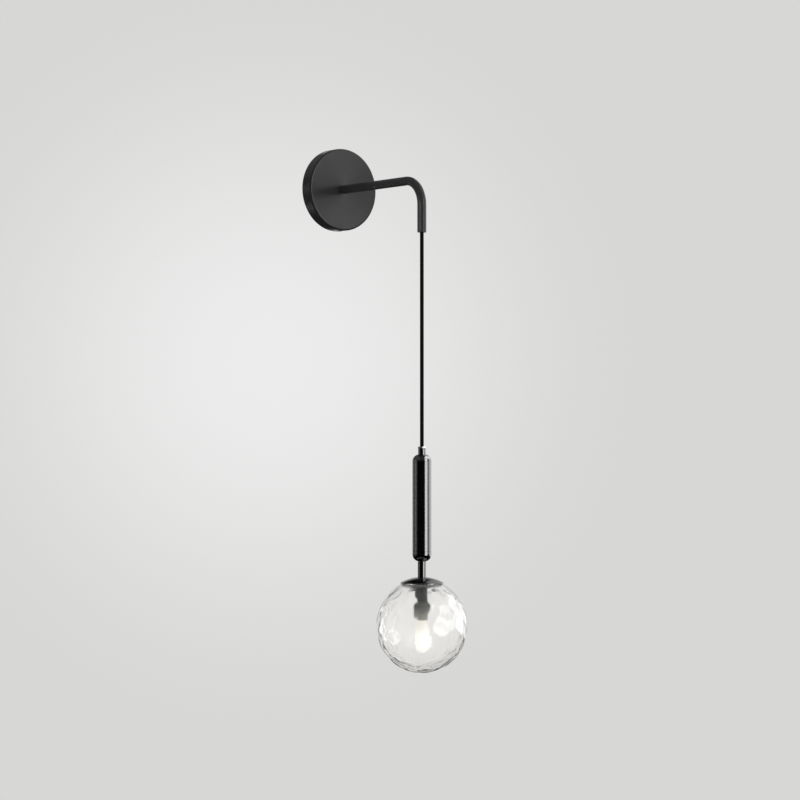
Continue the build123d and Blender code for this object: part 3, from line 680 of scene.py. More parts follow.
class Finishes:
    """The finishes of this light, by what they cover."""

    canopy = SpunPaint("canopy_spun_paint", (0.017, 0.017, 0.018), 0.2, specular=0.5)
    arm = SatinPaint("arm_satin_paint", (0.024, 0.024, 0.025), 0.17, specular=0.25)
    barrel = PolishedBlack("barrel_polished_black", (0.165, 0.165, 0.168), 0.1)
    stem = PolishedBlack("stem_polished_black", (0.165, 0.165, 0.168), 0.1)
    globe_cap = PolishedBlack("globe_cap_black", (0.11, 0.11, 0.112), 0.14)
    collar = SatinPaint("collar_satin_black", (0.02, 0.02, 0.021), 0.45)
    # The sleeve's finish paints shade onto its upper part.
    sleeve = ShadedTopPaint("sleeve_satin_grey", (0.19, 0.19, 0.168), 0.4, thin_colour=(0.2, 0.2, 0.19),
                         specular=0.2)
    screw = SatinPaint("screw_black_oxide", (0.016, 0.016, 0.017), 0.4, edge_amount=0.9)
    ferrule = BareMetal("ferrule_bright_nickel", (0.46, 0.455, 0.445), 0.16, stain=(0.36, 0.36, 0.35))
    pins = BareMetal("pin_bright_wire", (0.72, 0.71, 0.69), 0.2, stain=(0.5, 0.5, 0.48))
    bracket = BareMetal("bracket_zinc_plate", (0.56, 0.57, 0.59), 0.34, stain=(0.42, 0.44, 0.47),
                        stretch=(500.0, 2500.0, 60.0))
    zinc = BareMetal("fixings_zinc_plate", (0.54, 0.56, 0.58), 0.3, stain=(0.45, 0.43, 0.36))
    brass = BareMetal("terminal_brass", (0.72, 0.55, 0.27), 0.28, stain=(0.48, 0.33, 0.15))
    nylon = Moulded("natural_nylon", (0.76, 0.75, 0.7), 0.42, cloud=(0.66, 0.64, 0.57), translucency=0.15)
    black_nylon = Moulded("black_nylon", (0.022, 0.022, 0.023), 0.45, cloud=(0.032, 0.032, 0.033))
    silicone = Moulded("seal_silicone", (0.66, 0.66, 0.65), 0.5, cloud=(0.58, 0.58, 0.55), translucency=0.3)
    ceramic = Moulded("holder_ceramic", (0.84, 0.83, 0.79), 0.6, cloud=(0.76, 0.73, 0.66),
                      grain_scale=1200.0, grain_height=0.00003)
    bulb_base = Moulded("bulb_base_ceramic", (0.86, 0.85, 0.82), 0.38, cloud=(0.79, 0.77, 0.72))
    board = Moulded("bulb_board_white", (0.82, 0.82, 0.79), 0.4, cloud=(0.75, 0.76, 0.71))
    cover = LitCover("cover_frosted_lit", (0.12, 0.115, 0.105), 0.45, glow=(1.0, 0.98, 0.92), strength=0.84)
    led = LedChip("led_phosphor", (0.9, 0.74, 0.3), 0.5, glow=(1.0, 0.88, 0.62))
    sheath = Sheath("cord_black_sheath", (0.003, 0.003, 0.0032), 0.5)
    brown_core = Moulded("core_brown", (0.16, 0.075, 0.035), 0.3, cloud=(0.12, 0.055, 0.03))
    blue_core = Moulded("core_blue", (0.02, 0.1, 0.36), 0.3, cloud=(0.02, 0.08, 0.28))
    earth_core = Moulded("core_earth", (0.12, 0.34, 0.05), 0.3, cloud=(0.62, 0.6, 0.04))
    glass = ClearGlass("globe_clear_glass", (1.0, 1.0, 1.0), 0.13)


def dress(finish: Finish, *nodes: str) -> None:
    """Gives frame nodes a finish.

    Args:
        finish: the finish.
        *nodes: the nodes' names.
    """
    for node in nodes:
        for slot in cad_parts[node].material_slots:
            slot.material = finish.material()
        LOG.info("dressed %s in %s", node, finish.name)


def dress_cores(node: str, *order: Finish) -> None:
    """Gives each separate core of a frame node its own colour.

    Args:
        node: the node's name.
        *order: finishes of the cores, from the lowest x to the highest.
    """
    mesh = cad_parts[node].data
    groups = islands(mesh)
    groups.sort(key=lambda group: sum(mesh.polygons[index].center.x for index in group) / len(group))
    mesh.materials.clear()
    for finish in order:
        mesh.materials.append(finish.material())
    for number, group in enumerate(groups):
        for index in group:
            mesh.polygons[index].material_index = min(number, len(order) - 1)
    LOG.info("dressed %s in %d colours", node, len(groups))


def fit(piece: bpy.types.Object, body: str, slot: str, finish: Finish, *nodes: str) -> None:
    """Puts a finished piece on its body, in place of frame nodes.

    Args:
        piece: the new piece.
        body: the body that carries it.
        slot: the record's material slot; not used.
        finish: its finish.
        *nodes: the frame nodes that it stands for.
    """
    piece.data.materials.clear()
    piece.data.materials.append(finish.material())
    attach(piece, body)
    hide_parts(*nodes)
    LOG.info("built %s for %s", piece.name, ", ".join(nodes))


# ---- Sub-assemblies ----
@dataclass
class Canopy:
    """Spun cup on the wall, with the bracket and the wiring behind it."""

    wall: float = 1.2 * MM
    front_edge: float = 2.6 * MM
    back_edge: float = 0.3 * MM
    hole: float = 5.15 * MM
    head_radius: float = 3.2 * MM
    head_height: float = 0.45 * MM
    head_edge: float = 0.2 * MM
    shank_radius: float = 1.95 * MM
    shank_length: float = 5.5 * MM
    socket: float = 1.1 * MM
    socket_depth: float = 1.0 * MM
    screw_segments: int = 48
    extent: Extent = Extent.of("canopy_cover")

    def build(self) -> None:
        """Builds the cup and its screws, and dresses the bracket and the wiring."""
        self.build_cup()
        self.build_screws()
        dress(Finishes.bracket, "wall_bracket")
        dress(Finishes.zinc, "arm_nipple", "arm_washer", "arm_lock_washer", "arm_nut", "earth_washer",
              "earth_lug", "terminal_screws", "block_screw")
        dress(Finishes.brass, "terminal_clamps", "earth_screw")
        dress(Finishes.nylon, "terminal_block", "arm_grip_screw")
        dress(Finishes.black_nylon, "arm_cord_grip")
        dress(Finishes.sheath, "arm_lead")
        dress_cores("arm_lead_cores", Finishes.earth_core, Finishes.brown_core, Finishes.blue_core)

    def build_cup(self) -> None:
        """Builds the cup with its rounded front edge."""
        front, back, radius = -self.extent.low.y, -self.extent.high.y, self.extent.radius
        bore, inside = radius - self.wall, front - self.wall
        outline = rounded([
            (radius, front, self.front_edge), (radius, back, self.back_edge), (bore, back, self.back_edge),
            (bore, inside, self.front_edge - self.wall), (self.hole, inside, 0.0),
            (self.hole, front, 0.0)], steps=10)
        piece = lathe("spun_canopy", outline, segments=192, from_wall=True)
        fit(piece, "wall_arm", "satin_black", Finishes.canopy, "canopy_cover")

    def build_screws(self) -> None:
        """Builds the low socket-headed screws, one above and one below."""
        # The rim curves away under the head, and the seat is lower by that much.
        seat = self.extent.top - self.head_radius ** 2 / 2 / self.extent.top
        foot, top = seat - self.shank_length, self.extent.top + self.head_height
        turns = circle(self.screw_segments)
        # Distance from the screw's axis to the six sides of its socket.
        flats = self.socket / np.cos((turns + math.pi / 6) % (math.pi / 3) - math.pi / 6)
        path = [(0.0, foot), (self.shank_radius, foot), (self.shank_radius, seat), (self.head_radius, seat),
                (self.head_radius, top - self.head_edge), (self.head_radius - self.head_edge, top),
                (flats, top), (flats, top - self.socket_depth), (0.0, top - self.socket_depth)]
        rows = [upright_ring(radius, height, turns, self.extent.centre.y) for radius, height in path]
        piece = skin("canopy_socket_screws", rows, closed=False)
        mirror = piece.modifiers.new("mirror", "MIRROR")
        mirror.use_axis = (False, False, True)
        mirror.use_mirror_merge = False
        fit(piece, "wall_arm", "black_screw", Finishes.screw, "canopy_screws")


@dataclass
class Arm:
    """Tube that leaves the canopy, bends once and ends square above the lamp."""

    wall: float = 1.0 * MM
    bend_radius: float = 34.0 * MM
    lip: float = 0.3 * MM
    lip_steps: int = 4
    flattening: float = 0.03
    bend_steps: int = 30
    segments: int = 72
    extent: Extent = Extent.of("arm_tube")

    @property
    def radius(self) -> float:
        """Outer radius, half the tube's height where it leaves the canopy."""
        return self.extent.top

    def line(self) -> list[tuple[Vector, Vector, float]]:
        """Follows the tube's middle from the canopy to the mouth.

        Returns:
            At each ring its middle, its outward direction in the bend's plane, and how far it is bent,
            from 0 on straight tube to 1 in the middle of the bend.
        """
        out, up = Vector((0, -1, 0)), Vector((0, 0, 1))
        turn_y = LAMP_LINE_Y + self.bend_radius
        pivot = Vector((0, turn_y, -self.bend_radius))
        rings = [(Vector((0, y, 0)), up, 0.0) for y in (self.extent.high.y, turn_y + self.radius)]
        for turn in (math.pi / 2 * step / self.bend_steps for step in range(self.bend_steps + 1)):
            side = up * math.cos(turn) + out * math.sin(turn)
            rings.append((pivot + side * self.bend_radius, side, math.sin(2 * turn)))
        ends = (-self.bend_radius - self.radius, self.extent.bottom + self.lip)
        return rings + [(Vector((0, LAMP_LINE_Y, height)), out, 0.0) for height in ends]

    def tube_ring(self, middle: Vector, side: Vector, radius: float, bent: float) -> np.ndarray:
        """Draws one ring of the tube, a little flattened where it is bent.

        Args:
            middle: the ring's middle.
            side: its outward direction in the bend's plane.
            radius: its radius before it is flattened.
            bent: how far the tube is bent there, from 0 to 1.

        Returns:
            The ring's points.
        """
        turns = circle(self.segments)
        across = radius * (1 + self.flattening / 2 * bent) * np.cos(turns)
        deep = radius * (1 - self.flattening * bent) * np.sin(turns)
        return np.array(middle) + np.outer(across, (1, 0, 0)) + np.outer(deep, side)

    def build(self) -> None:
        """Builds the tube with its bore and its rounded mouth."""
        line = self.line()
        bore = self.radius - self.wall
        rows = [self.tube_ring(middle, side, self.radius, bent) for middle, side, bent in line]
        end, side, _ = line[-1]
        # The mouth is rounded on its outer edge first, then on its inner one.
        for radius, start in ((self.radius - self.lip, 0.0), (bore + self.lip, math.pi / 2)):
            for step in range(1, self.lip_steps + 1):
                turn = start + math.pi / 2 * step / self.lip_steps
                drop = Vector((0, 0, -self.lip * math.sin(turn)))
                rows.append(self.tube_ring(end + drop, side, radius + self.lip * math.cos(turn), 0.0))
        rows += [self.tube_ring(middle, side, bore, bent) for middle, side, bent in reversed(line)]
        piece = skin("bent_arm", rows, closed=True)
        keep_flat(piece)
        fit(piece, "wall_arm", "satin_black", Finishes.arm, "arm_tube")
        dress(Finishes.black_nylon, "arm_end_bushing")


@dataclass
class HangingCord:
    """Straight cord from the arm's mouth into the grip."""

    route: tuple[Triple, ...] = (
        (0.0, -0.1925, -0.0703), (0.0, -0.1925, -0.1003), (0.0, -0.1925, -0.3334), (0.0, -0.1925, -0.3634))
    exit: Triple = (0.0, -0.1925, -0.0705)
    length: float = 0.2931
    diameter: float = 0.005

    def build(self) -> None:
        line = bpy.data.curves.new("hanging_cord", "CURVE")
        line.dimensions = "3D"
        line.bevel_depth = self.diameter / 2
        line.bevel_resolution = 8
        line.resolution_u = 24
        line.use_fill_caps = True
        spline = line.splines.new("NURBS")
        spline.points.add(len(self.route) - 1)
        for point, corner in zip(spline.points, self.route):
            point.co = (*corner, 1.0)
        spline.order_u = 3
        spline.use_endpoint_u = True
        cord = place("hanging_cord", line)
        fit(cord, "pendant", "cord_sheath", Finishes.sheath, "pendant_cord")
        bends = ("cord_bend_upper", "cord_bend_lower")
        dress(Finishes.sheath, *bends)


@dataclass
class CordGrip:
    """Small grip on top of the barrel, with its bright ring."""

    lip_radius: float = 4.4 * MM
    flare: float = 1.5 * MM
    tail: float = 1.2 * MM
    bore: float = 2.8 * MM
    tail_radius: float = 3.95 * MM
    knurls: int = 36
    knurl_steps: int = 8
    knurl_depth: float = 0.12 * MM
    edge: float = 0.2 * MM
    ferrule: Extent = Extent.of("cord_ferrule")

    def build(self) -> None:
        """Builds the knurled ring and dresses the collet inside."""
        top, bottom, radius = self.ferrule.top, self.ferrule.bottom, self.ferrule.radius
        shoulder = bottom + self.tail
        outline = rounded([
            (self.bore, top, self.edge), (self.lip_radius, top, self.edge),
            (radius, top - self.flare, self.edge), (radius, shoulder, self.edge / 2),
            (self.tail_radius, shoulder, 0.0), (self.tail_radius, bottom, self.edge / 2),
            (self.bore, bottom, 0.0)])
        turns = circle(self.knurls * self.knurl_steps)
        wave = np.sin(self.knurls * turns / 2) ** 2
        rows = []
        for reach, height in outline:
            share = max(0.0, (reach - self.lip_radius) / (radius - self.lip_radius))
            rows.append(upright_ring(reach - self.knurl_depth * share * wave, height, turns))
        piece = skin("knurled_ferrule", rows, closed=True)
        fit(piece, "pendant", "chrome_ring", Finishes.ferrule, "cord_ferrule")
        dress(Finishes.stem, "cord_grip")
        dress(Finishes.nylon, "grip_collet")


@dataclass
class Barrel:
    """Polished barrel between two domed caps, on the hollow rod."""

    wall: float = 1.2 * MM
    seam: float = 0.25 * MM
    tube: Extent = Extent.of("barrel_tube")

    def build(self) -> None:
        """Builds the barrel with eased edges at its seams, and dresses the rest."""
        top, bottom, radius = self.tube.top, self.tube.bottom, self.tube.radius
        bore = radius - self.wall
        outline = rounded([(radius, top, self.seam), (radius, bottom, self.seam), (bore, bottom, 0.0),
                           (bore, top, 0.0)])
        piece = lathe("barrel_shell", outline, segments=160)
        fit(piece, "pendant", "gloss_black", Finishes.barrel, "barrel_tube")
        dress(Finishes.barrel, "upper_end_cap", "lower_end_cap")
        dress(Finishes.stem, "stem_sleeve")
        dress(Finishes.zinc, "centre_rod")


@dataclass
class GlobeCap:
    """Dished cap over the globe, with the threaded collar under it."""

    wall: float = 1.2 * MM
    land: float = 7.0 * MM
    hole: float = 4.15 * MM
    lift: float = 1.2 * MM
    dome_steps: int = 28
    roll_steps: int = 8
    extent: Extent = Extent.of("globe_cap")

    def arc(self, radius: float, centre: float, first: float, last: float) -> Outline:
        """Follows a sphere about a point on the line, from a first distance from the line to a last."""
        turns = np.linspace(math.asin(first / radius), math.asin(last / radius), self.dome_steps + 1)
        return [(radius * math.sin(turn), centre + radius * math.cos(turn)) for turn in turns]

    def build(self) -> None:
        """Builds the cap with its rolled edge, and dresses the collar and the seal."""
        reach, rim = self.extent.radius, self.wall / 2
        drop = self.extent.top - self.extent.bottom - rim
        # The dome is part of the sphere through the flat land's edge and the cap's widest point.
        outer = math.hypot((reach ** 2 - self.land ** 2 + drop ** 2) / 2 / drop, self.land)
        centre = self.extent.top - math.sqrt(outer ** 2 - self.land ** 2)
        turn = math.asin((reach - rim) / (outer - rim))
        middle_x, middle_z = (outer - rim) * math.sin(turn), centre + (outer - rim) * math.cos(turn)
        outline = [(self.hole, self.extent.top)]
        outline += self.arc(outer, centre, self.land, outer * math.sin(turn))
        for angle in (turn + math.pi * step / self.roll_steps for step in range(1, self.roll_steps)):
            outline.append((middle_x + rim * math.sin(angle), middle_z + rim * math.cos(angle)))
        outline += self.arc(outer - self.wall, centre, (outer - self.wall) * math.sin(turn), self.hole)
        outline = [(radius, height + self.lift) for radius, height in outline]
        piece = lathe("dished_globe_cap", outline, segments=160)
        fit(piece, "pendant", "gloss_black", Finishes.globe_cap, "globe_cap")
        dress(Finishes.collar, "globe_collar")
        dress(Finishes.silicone, "globe_seal")


@dataclass
class LampHolder:
    """Sleeve with the ceramic holder, its bracket and its leads."""

    wall: float = 0.8 * MM
    plate: float = 1.2 * MM
    hole: float = 4.15 * MM
    edge: float = 0.35 * MM
    extent: Extent = Extent.of("lamp_sleeve")

    def build(self) -> None:
        """Builds the sleeve with its eased edges, and dresses what it holds."""
        top, bottom, radius = self.extent.top, self.extent.bottom, self.extent.radius
        bore, under = radius - self.wall, top - self.plate
        piece = lathe("lamp_sleeve_shell", rounded([
            (self.hole, top, 0.0), (radius, top, self.edge), (radius, bottom, self.edge),
            (bore, bottom, self.edge), (bore, under, 0.0), (self.hole, under, 0.0)]))
        fit(piece, "pendant", "dark_sleeve", Finishes.sleeve, "lamp_sleeve")
        dress(Finishes.zinc, "rod_washer", "rod_nut", "holder_bracket", "holder_screws")
        dress(Finishes.brass, "holder_contacts", "earth_tag")
        dress(Finishes.ceramic, "lamp_holder")
        dress_cores("lamp_leads", Finishes.brown_core, Finishes.blue_core, Finishes.earth_core)


@dataclass
class GlassGlobe:
    """Blown glass globe with a dimpled skin and a threaded neck."""

    wall: float = 5.6 * MM
    neck_radius: float = 19.6 * MM
    neck_wall: float = 3.0 * MM
    neck_depth: float = 7.0 * MM
    neck_rows: int = 34
    half_height: float = 61.5 * MM
    cell: float = 23.0 * MM
    dimple: float = 1.6 * MM
    dimple_fade: float = 12.0 * MM
    inner_share: float = 0.5
    ridge_softness: float = 60.0
    jitter: float = 0.22
    thread_pitch: float = 4.0 * MM
    thread_depth: float = 0.9 * MM
    thread_root: float = 1.6 * MM
    thread_crest: float = 0.8 * MM
    thread_turns: float = 0.6
    thread_ease: float = 0.03
    thread_foot: float = 3.3 * MM
    shoulder: float = 1.2 * MM
    shoulder_start: float = 0.72
    segments: int = 288
    rows: int = 120
    edge: float = 0.5 * MM
    seed: int = 3
    extent: Extent = Extent.of("glass_globe")

    def cell_directions(self) -> np.ndarray:
        """Spreads the dimples evenly over the globe along a spiral, each a little off its place.

        Returns:
            A unit vector to the middle of each dimple.
        """
        draw = random.Random(self.seed)
        pitch = self.cell / self.extent.radius
        # As many as cover the globe when each has a hexagon of this width, at turns of the golden angle.
        count = round(4 * math.pi / (pitch ** 2 * math.sin(math.pi / 3)))
        directions = []
        for number in range(count):
            height = 1 - 2 * (number + 0.5) / count
            turn = number * math.pi * (3 - math.sqrt(5))
            across = math.sqrt(1 - height ** 2)
            aim = Vector((across * math.cos(turn), across * math.sin(turn), height))
            aim += Vector([draw.uniform(-1, 1) for _ in range(3)]) * self.jitter * pitch
            directions.append(aim.normalized()[:])
        return np.array(directions)

    def hollows(self, directions: np.ndarray, cells: np.ndarray) -> np.ndarray:
        """How deep the dimples are in some directions.

        Args:
            directions: unit vectors to the places asked for.
            cells: unit vectors to the dimples' middles.

        Returns:
            The depth at each place, from 0 where dimples meet to 1 in the middle of one.
        """
        # Squared distances to the middles, and a soft smallest of them, which rounds the ridges.
        apart = 2 - 2 * directions @ cells.T
        nearest = apart.min(axis=1, keepdims=True)
        crowding = np.exp(-self.ridge_softness * (apart - nearest)).sum(axis=1)
        soft = nearest[:, 0] - np.log(crowding) / self.ridge_softness
        ridge = (self.cell / self.extent.radius) ** 2 / 3 - math.log(3) / self.ridge_softness
        return np.clip(1 - soft / ridge, 0, 1)

    def skin_rows(self, inset: float, last_radius: float, share: float, cells: np.ndarray) -> np.ndarray:
        """Rings of one skin of the globe, from the bottom to the neck.

        Args:
            inset: distance inside the outer skin.
            last_radius: radius of the last ring.
            share: share of the full dimple depth.
            cells: unit vectors to the dimples' middles.

        Returns:
            The rings, as an array of rows, places and coordinates.
        """
        across = self.extent.radius - inset
        axes = np.array([across, across, self.half_height - inset])
        downs = np.linspace(0, math.pi - math.asin(last_radius / across), self.rows)
        unit = np.array([upright_ring(math.sin(down), -math.cos(down), circle(self.segments), 0.0)
                         for down in downs])
        normal = unit / axes
        normal /= np.linalg.norm(normal, axis=-1, keepdims=True)
        depth = self.hollows(unit.reshape(-1, 3), cells).reshape(unit.shape[:2])
        surface = unit * axes
        # The shoulder rises to the cap's edge, and the dimples fade out below the neck.
        rise = np.clip((unit[..., 2] - self.shoulder_start) / (unit[-1, 0, 2] - self.shoulder_start), 0, 1)
        surface[..., 2] += self.shoulder * rise ** 2
        shown = np.clip((surface[-1, 0, 2] - surface[..., 2]) / self.dimple_fade, 0, 1)
        shown = shown * shown * (3 - 2 * shown)
        centre = np.array([0.0, LAMP_LINE_Y, self.extent.bottom + self.half_height])
        return surface - normal * (self.dimple * share * depth * shown)[..., None] + centre

    def threaded_neck(self) -> list[np.ndarray]:
        """Rings of the rim and the neck, with the thread inside it.

        Returns:
            The rings, from the outer skin's end to the inner skin's.
        """
        top = self.extent.top + self.shoulder
        bottom = self.extent.top - self.neck_depth
        outer = self.neck_radius + self.neck_wall
        path = [(self.neck_radius + self.edge, top)]
        path += [(self.neck_radius, height)
                 for height in np.linspace(top - self.edge, bottom + self.edge, self.neck_rows)]
        path += [(self.neck_radius + self.edge, bottom), (outer - self.edge, bottom),
                 (outer, bottom + self.edge)]
        turns = circle(self.segments)
        turned = np.mod(turns - math.pi / 2, math.tau) / math.tau
        ridge = bottom + self.thread_foot + self.thread_pitch * turned
        ends = np.clip(np.minimum(turned, self.thread_turns - turned) / self.thread_ease, 0, 1)
        slope = (self.thread_root - self.thread_crest) / 2
        rows = []
        for radius, height in path:
            depth = self.thread_depth if radius == self.neck_radius else 0.0
            rise = np.clip((self.thread_root / 2 - np.abs(height - ridge)) / slope, 0, 1)
            rows.append(upright_ring(radius - rise * ends * depth, height, turns))
        return rows

    def build(self) -> None:
        """Builds the globe as one closed skin."""
        cells = self.cell_directions()
        rise = (self.extent.top - self.extent.bottom) / self.half_height - 1
        rim_radius = self.extent.radius * math.sqrt(1 - rise ** 2)
        outside = self.skin_rows(0.0, rim_radius, 1.0, cells)
        inside = self.skin_rows(self.wall, self.neck_radius + self.neck_wall, self.inner_share, cells)
        rows = np.concatenate([outside, np.array(self.threaded_neck()), inside[::-1]])
        piece = skin("dimpled_globe", rows, closed=False, sharp_degrees=50.0)
        fit(piece, "globe", "clear_glass", Finishes.glass, "glass_globe")
        piece.visible_shadow = False


@dataclass
class Bulb:
    """Small frosted lamp on two looped pins."""

    wall: float = 1.0 * MM
    foot: float = 7.0 * MM
    hole: float = 7.9 * MM
    extent: Extent = Extent.of("bulb_envelope")

    def build(self) -> None:
        """Builds the frosted cover and dresses what it holds."""
        low, high, radius = self.extent.bottom, self.extent.top, self.extent.radius
        floor, roof, bore = low + self.wall, high - self.wall, radius - self.wall
        outline = rounded([
            (0.0, low, 0.0), (radius, low, self.foot), (radius, high, self.wall), (self.hole, high, 0.0),
            (self.hole, roof, 0.0), (bore, roof, 0.0), (bore, floor, self.foot - self.wall),
            (0.0, floor, 0.0)], steps=14)
        piece = lathe("frosted_cover_shell", outline, closed=False)
        fit(piece, "bulb", "frosted_cover", Finishes.cover, "bulb_envelope")
        piece.visible_shadow = False
        dress(Finishes.bulb_base, "bulb_base")
        dress(Finishes.pins, "bulb_pins")
        dress(Finishes.board, "bulb_board")
        dress(Finishes.led, "bulb_leds")


# ---- Studio ----
POLISHED = ("barrel_shell", "upper_end_cap", "lower_end_cap", "stem_sleeve", "dished_globe_cap",
            "knurled_ferrule", "cord_grip")
GLOBE = ("dimpled_globe",)


@dataclass(frozen=True)
class Softbox:
    """Rectangular lamp, and the pieces that it shines on, or all if none are named.

    Its stand and its target are measured from the middle of the globe, or from the lamp line at z = 0.
    """

    name: str
    stand: Triple
    target: Triple
    size: tuple[float, float]
    power: float
    from_globe: bool = False
    mirrored: bool = True
    diffuse: bool = True
    pieces: tuple[str, ...] = ()


@dataclass(frozen=True)
class Patch:
    """Part of the room that polished surfaces mirror, with soft edges.

    Headings are in degrees from the direction into the wall, clockwise from above, and rises are sines of
    the angle above level.
    """

    brightness: float
    headings: tuple[float, float]
    rises: tuple[float, float]
    soft_heading: float = 8.0
    soft_rise: float = 0.1


@dataclass
class Studio:
    """Camera, soft lamps, pale backdrop and floor.

    Angles are in radians, headings run clockwise from the direction into the wall, and a brightness of 1 is
    white. Turns are cosines of the angle from the camera's heading, and rises are sines.
    """

    camera_place: Triple = (-2.2165, -3.0232, -0.3854)
    camera_heading: float = 0.6563
    camera_pitch: float = 0.02615
    camera_lens: float = 123.1
    backdrop: Colour = (0.68, 0.68, 0.665)
    glow: Colour = (0.84, 0.84, 0.84)
    glow_aside: tuple[float, float] = (-0.0475, 0.0146)
    glow_reach: float = 0.142
    behind_glass: Colour = (0.79, 0.782, 0.762)
    glass_lines: Colour = (0.66, 0.66, 0.655)
    glass_line_count: int = 6
    glass_line_turn: float = math.radians(30)
    glass_line_start: float = 0.6
    floor_colour: Colour = (0.7, 0.7, 0.695)
    floor_roughness: float = 0.9
    floor_segments: int = 96
    floor_height: float = -1.35
    floor_radius: float = 4.5
    shadow_reach: tuple[float, float] = (1.6, 0.5)
    shadow_in_glass: float = 0.2
    ambient: float = 0.3
    room: float = 0.008
    ceiling: float = 0.1
    ceiling_turns: tuple[float, float] = (0.5, -0.2)
    ceiling_rises: tuple[float, float] = (0.1, 0.4)
    backdrop_turns: tuple[float, float] = (0.8, 0.94)
    bulb_power: float = 0.11
    bulb_colour: Colour = (1.0, 0.9, 0.74)
    bulb_share: float = 0.8
    patches: tuple[Patch, ...] = (
        Patch(0.3, (-88, 60), (-0.12, 0.26), 16.0, 0.14),
        Patch(0.95, (102, 156), (-0.12, 0.26), 8.0, 0.14),
        Patch(0.2, (-110, 20), (0.3, 0.95)),
        Patch(0.9, (44, 175), (0.25, 0.93)),
    )
    softboxes: tuple[Softbox, ...] = (
        Softbox("key_softbox", (0.42, -1.544, -0.1), (0, 0, -0.1), (0.87, 1.7), 15.6),
        Softbox("side_softbox", (1.6, 0, -0.1), (0, 0, -0.1), (1.42, 1.7), 14.2,
                pieces=(*POLISHED, *GLOBE, "bent_arm")),
        Softbox("high_softbox", (1.02, -0.64, 0.98), (0, 0, -0.36), (2.1, 1.03), 19.0, pieces=POLISHED),
        Softbox("high_panel", (-4.0, -0.2, 0.42), (0, 0, 0.42), (4.4, 0.55), 24.0, pieces=("bent_arm",)),
        Softbox("left_fill", (-2.0, -0.9, 0.6), (0, 0, 0.2), (0.9, 1.4), 6.0, from_globe=True,
                mirrored=False),
        Softbox("overhead", (0.1, -0.5, 1.9), (0, 0, 0), (1.2, 1.2), 6.0, from_globe=True, mirrored=False),
        Softbox("glass_window", (1.21, -1.05, 0.32), (0, 0, 0.32), (3.5, 1.06), 29.0, from_globe=True,
                diffuse=False, pieces=GLOBE),
        Softbox("near_strip", (-1.418, 0.7413, -0.35), (0, 0, -0.35), (0.06, 1.2), 0.5),
        Softbox("glass_near_strip", (-1.418, 0.7413, 0), (0, 0, 0), (0.28, 1.5), 5.5, from_globe=True,
                diffuse=False, pieces=GLOBE),
        Softbox("far_strip", (-0.661, 1.4571, -0.35), (0, 0, -0.35), (0.06, 1.2), 0.5),
        Softbox("glass_far_strip", (-0.661, 1.4571, 0), (0, 0, 0), (0.28, 1.5), 5.5, from_globe=True,
                diffuse=False, pieces=GLOBE),
    )

    def build(self) -> None:
        """Builds the camera, the surroundings and the lamps."""
        self.add_camera()
        self.add_world()
        self.add_floor()
        for box in self.softboxes:
            self.add_softbox(box)
        self.add_bulb_light()

    def share_lamps(self) -> None:
        """Lets the lamps that name pieces shine on those pieces alone."""
        for box in self.softboxes:
            if box.pieces:
                receivers = bpy.data.collections.new(f"{box.name}_receivers")
                for name in box.pieces:
                    receivers.objects.link(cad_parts.get(name) or bpy.data.objects[name])
                bpy.data.objects[box.name].light_linking.receiver_collection = receivers

    def add_camera(self) -> None:
        """Places the camera."""
        camera = bpy.data.cameras.new("camera")
        camera.lens = self.camera_lens
        camera.clip_start = 0.05
        camera.clip_end = 60.0
        stand = place("camera", camera)
        stand.location = self.camera_place
        stand.rotation_euler = (math.pi / 2 + self.camera_pitch, 0.0, -self.camera_heading)
        bpy.context.scene.camera = stand
        bpy.context.scene.view_settings.view_transform = "Standard"

    def add_softbox(self, box: Softbox) -> None:
        """Adds a soft lamp.

        Args:
            box: the lamp.
        """
        light = bpy.data.lights.new(box.name, "AREA")
        light.shape = "RECTANGLE"
        light.size, light.size_y = box.size
        light.energy = box.power
        lamp = place(box.name, light)
        origin = Extent.of("glass_globe").centre if box.from_globe else Vector((0, LAMP_LINE_Y, 0))
        lamp.location = origin + Vector(box.stand)
        lamp.rotation_euler = (Vector(box.target) - Vector(box.stand)).to_track_quat("-Z", "Y").to_euler()
        lamp.visible_glossy = box.mirrored
        lamp.visible_diffuse = box.diffuse
        lamp.visible_camera = False
        lamp.visible_transmission = False

    def add_bulb_light(self) -> None:
        """Adds the light that the bulb itself gives."""
        bulb = Extent.of("bulb_envelope")
        light = bpy.data.lights.new("bulb_glow", "POINT")
        light.energy = self.bulb_power
        light.color = self.bulb_colour
        light.shadow_soft_size = bulb.radius * self.bulb_share
        place("bulb_glow", light).location = bulb.centre

    def add_world(self) -> None:
        """Gives each kind of ray its own plain surroundings."""
        world = bpy.data.worlds.new("studio")
        world.use_nodes = True
        bpy.context.scene.world = world
        world.node_tree.nodes.clear()
        graph = Graph(world.node_tree)
        rays = graph.add("ShaderNodeLightPath").outputs
        direction = graph.add("ShaderNodeTexCoord").outputs["Generated"]
        heading = graph.math("ARCTAN2", graph.part("X", direction), graph.part("Y", direction))
        mirrored = self.mirrored_room(graph, direction, heading)
        colour = graph.blend(rays["Is Glossy Ray"], (self.ambient,) * 3, mirrored)
        colour = graph.blend(rays["Is Transmission Ray"], colour, self.lined_wall(graph, heading))
        colour = graph.blend(rays["Is Camera Ray"], colour, self.glowing_wall(graph, direction))
        background = graph.add("ShaderNodeBackground", {"Color": colour}).outputs[0]
        graph.add("ShaderNodeOutputWorld", {"Surface": background})

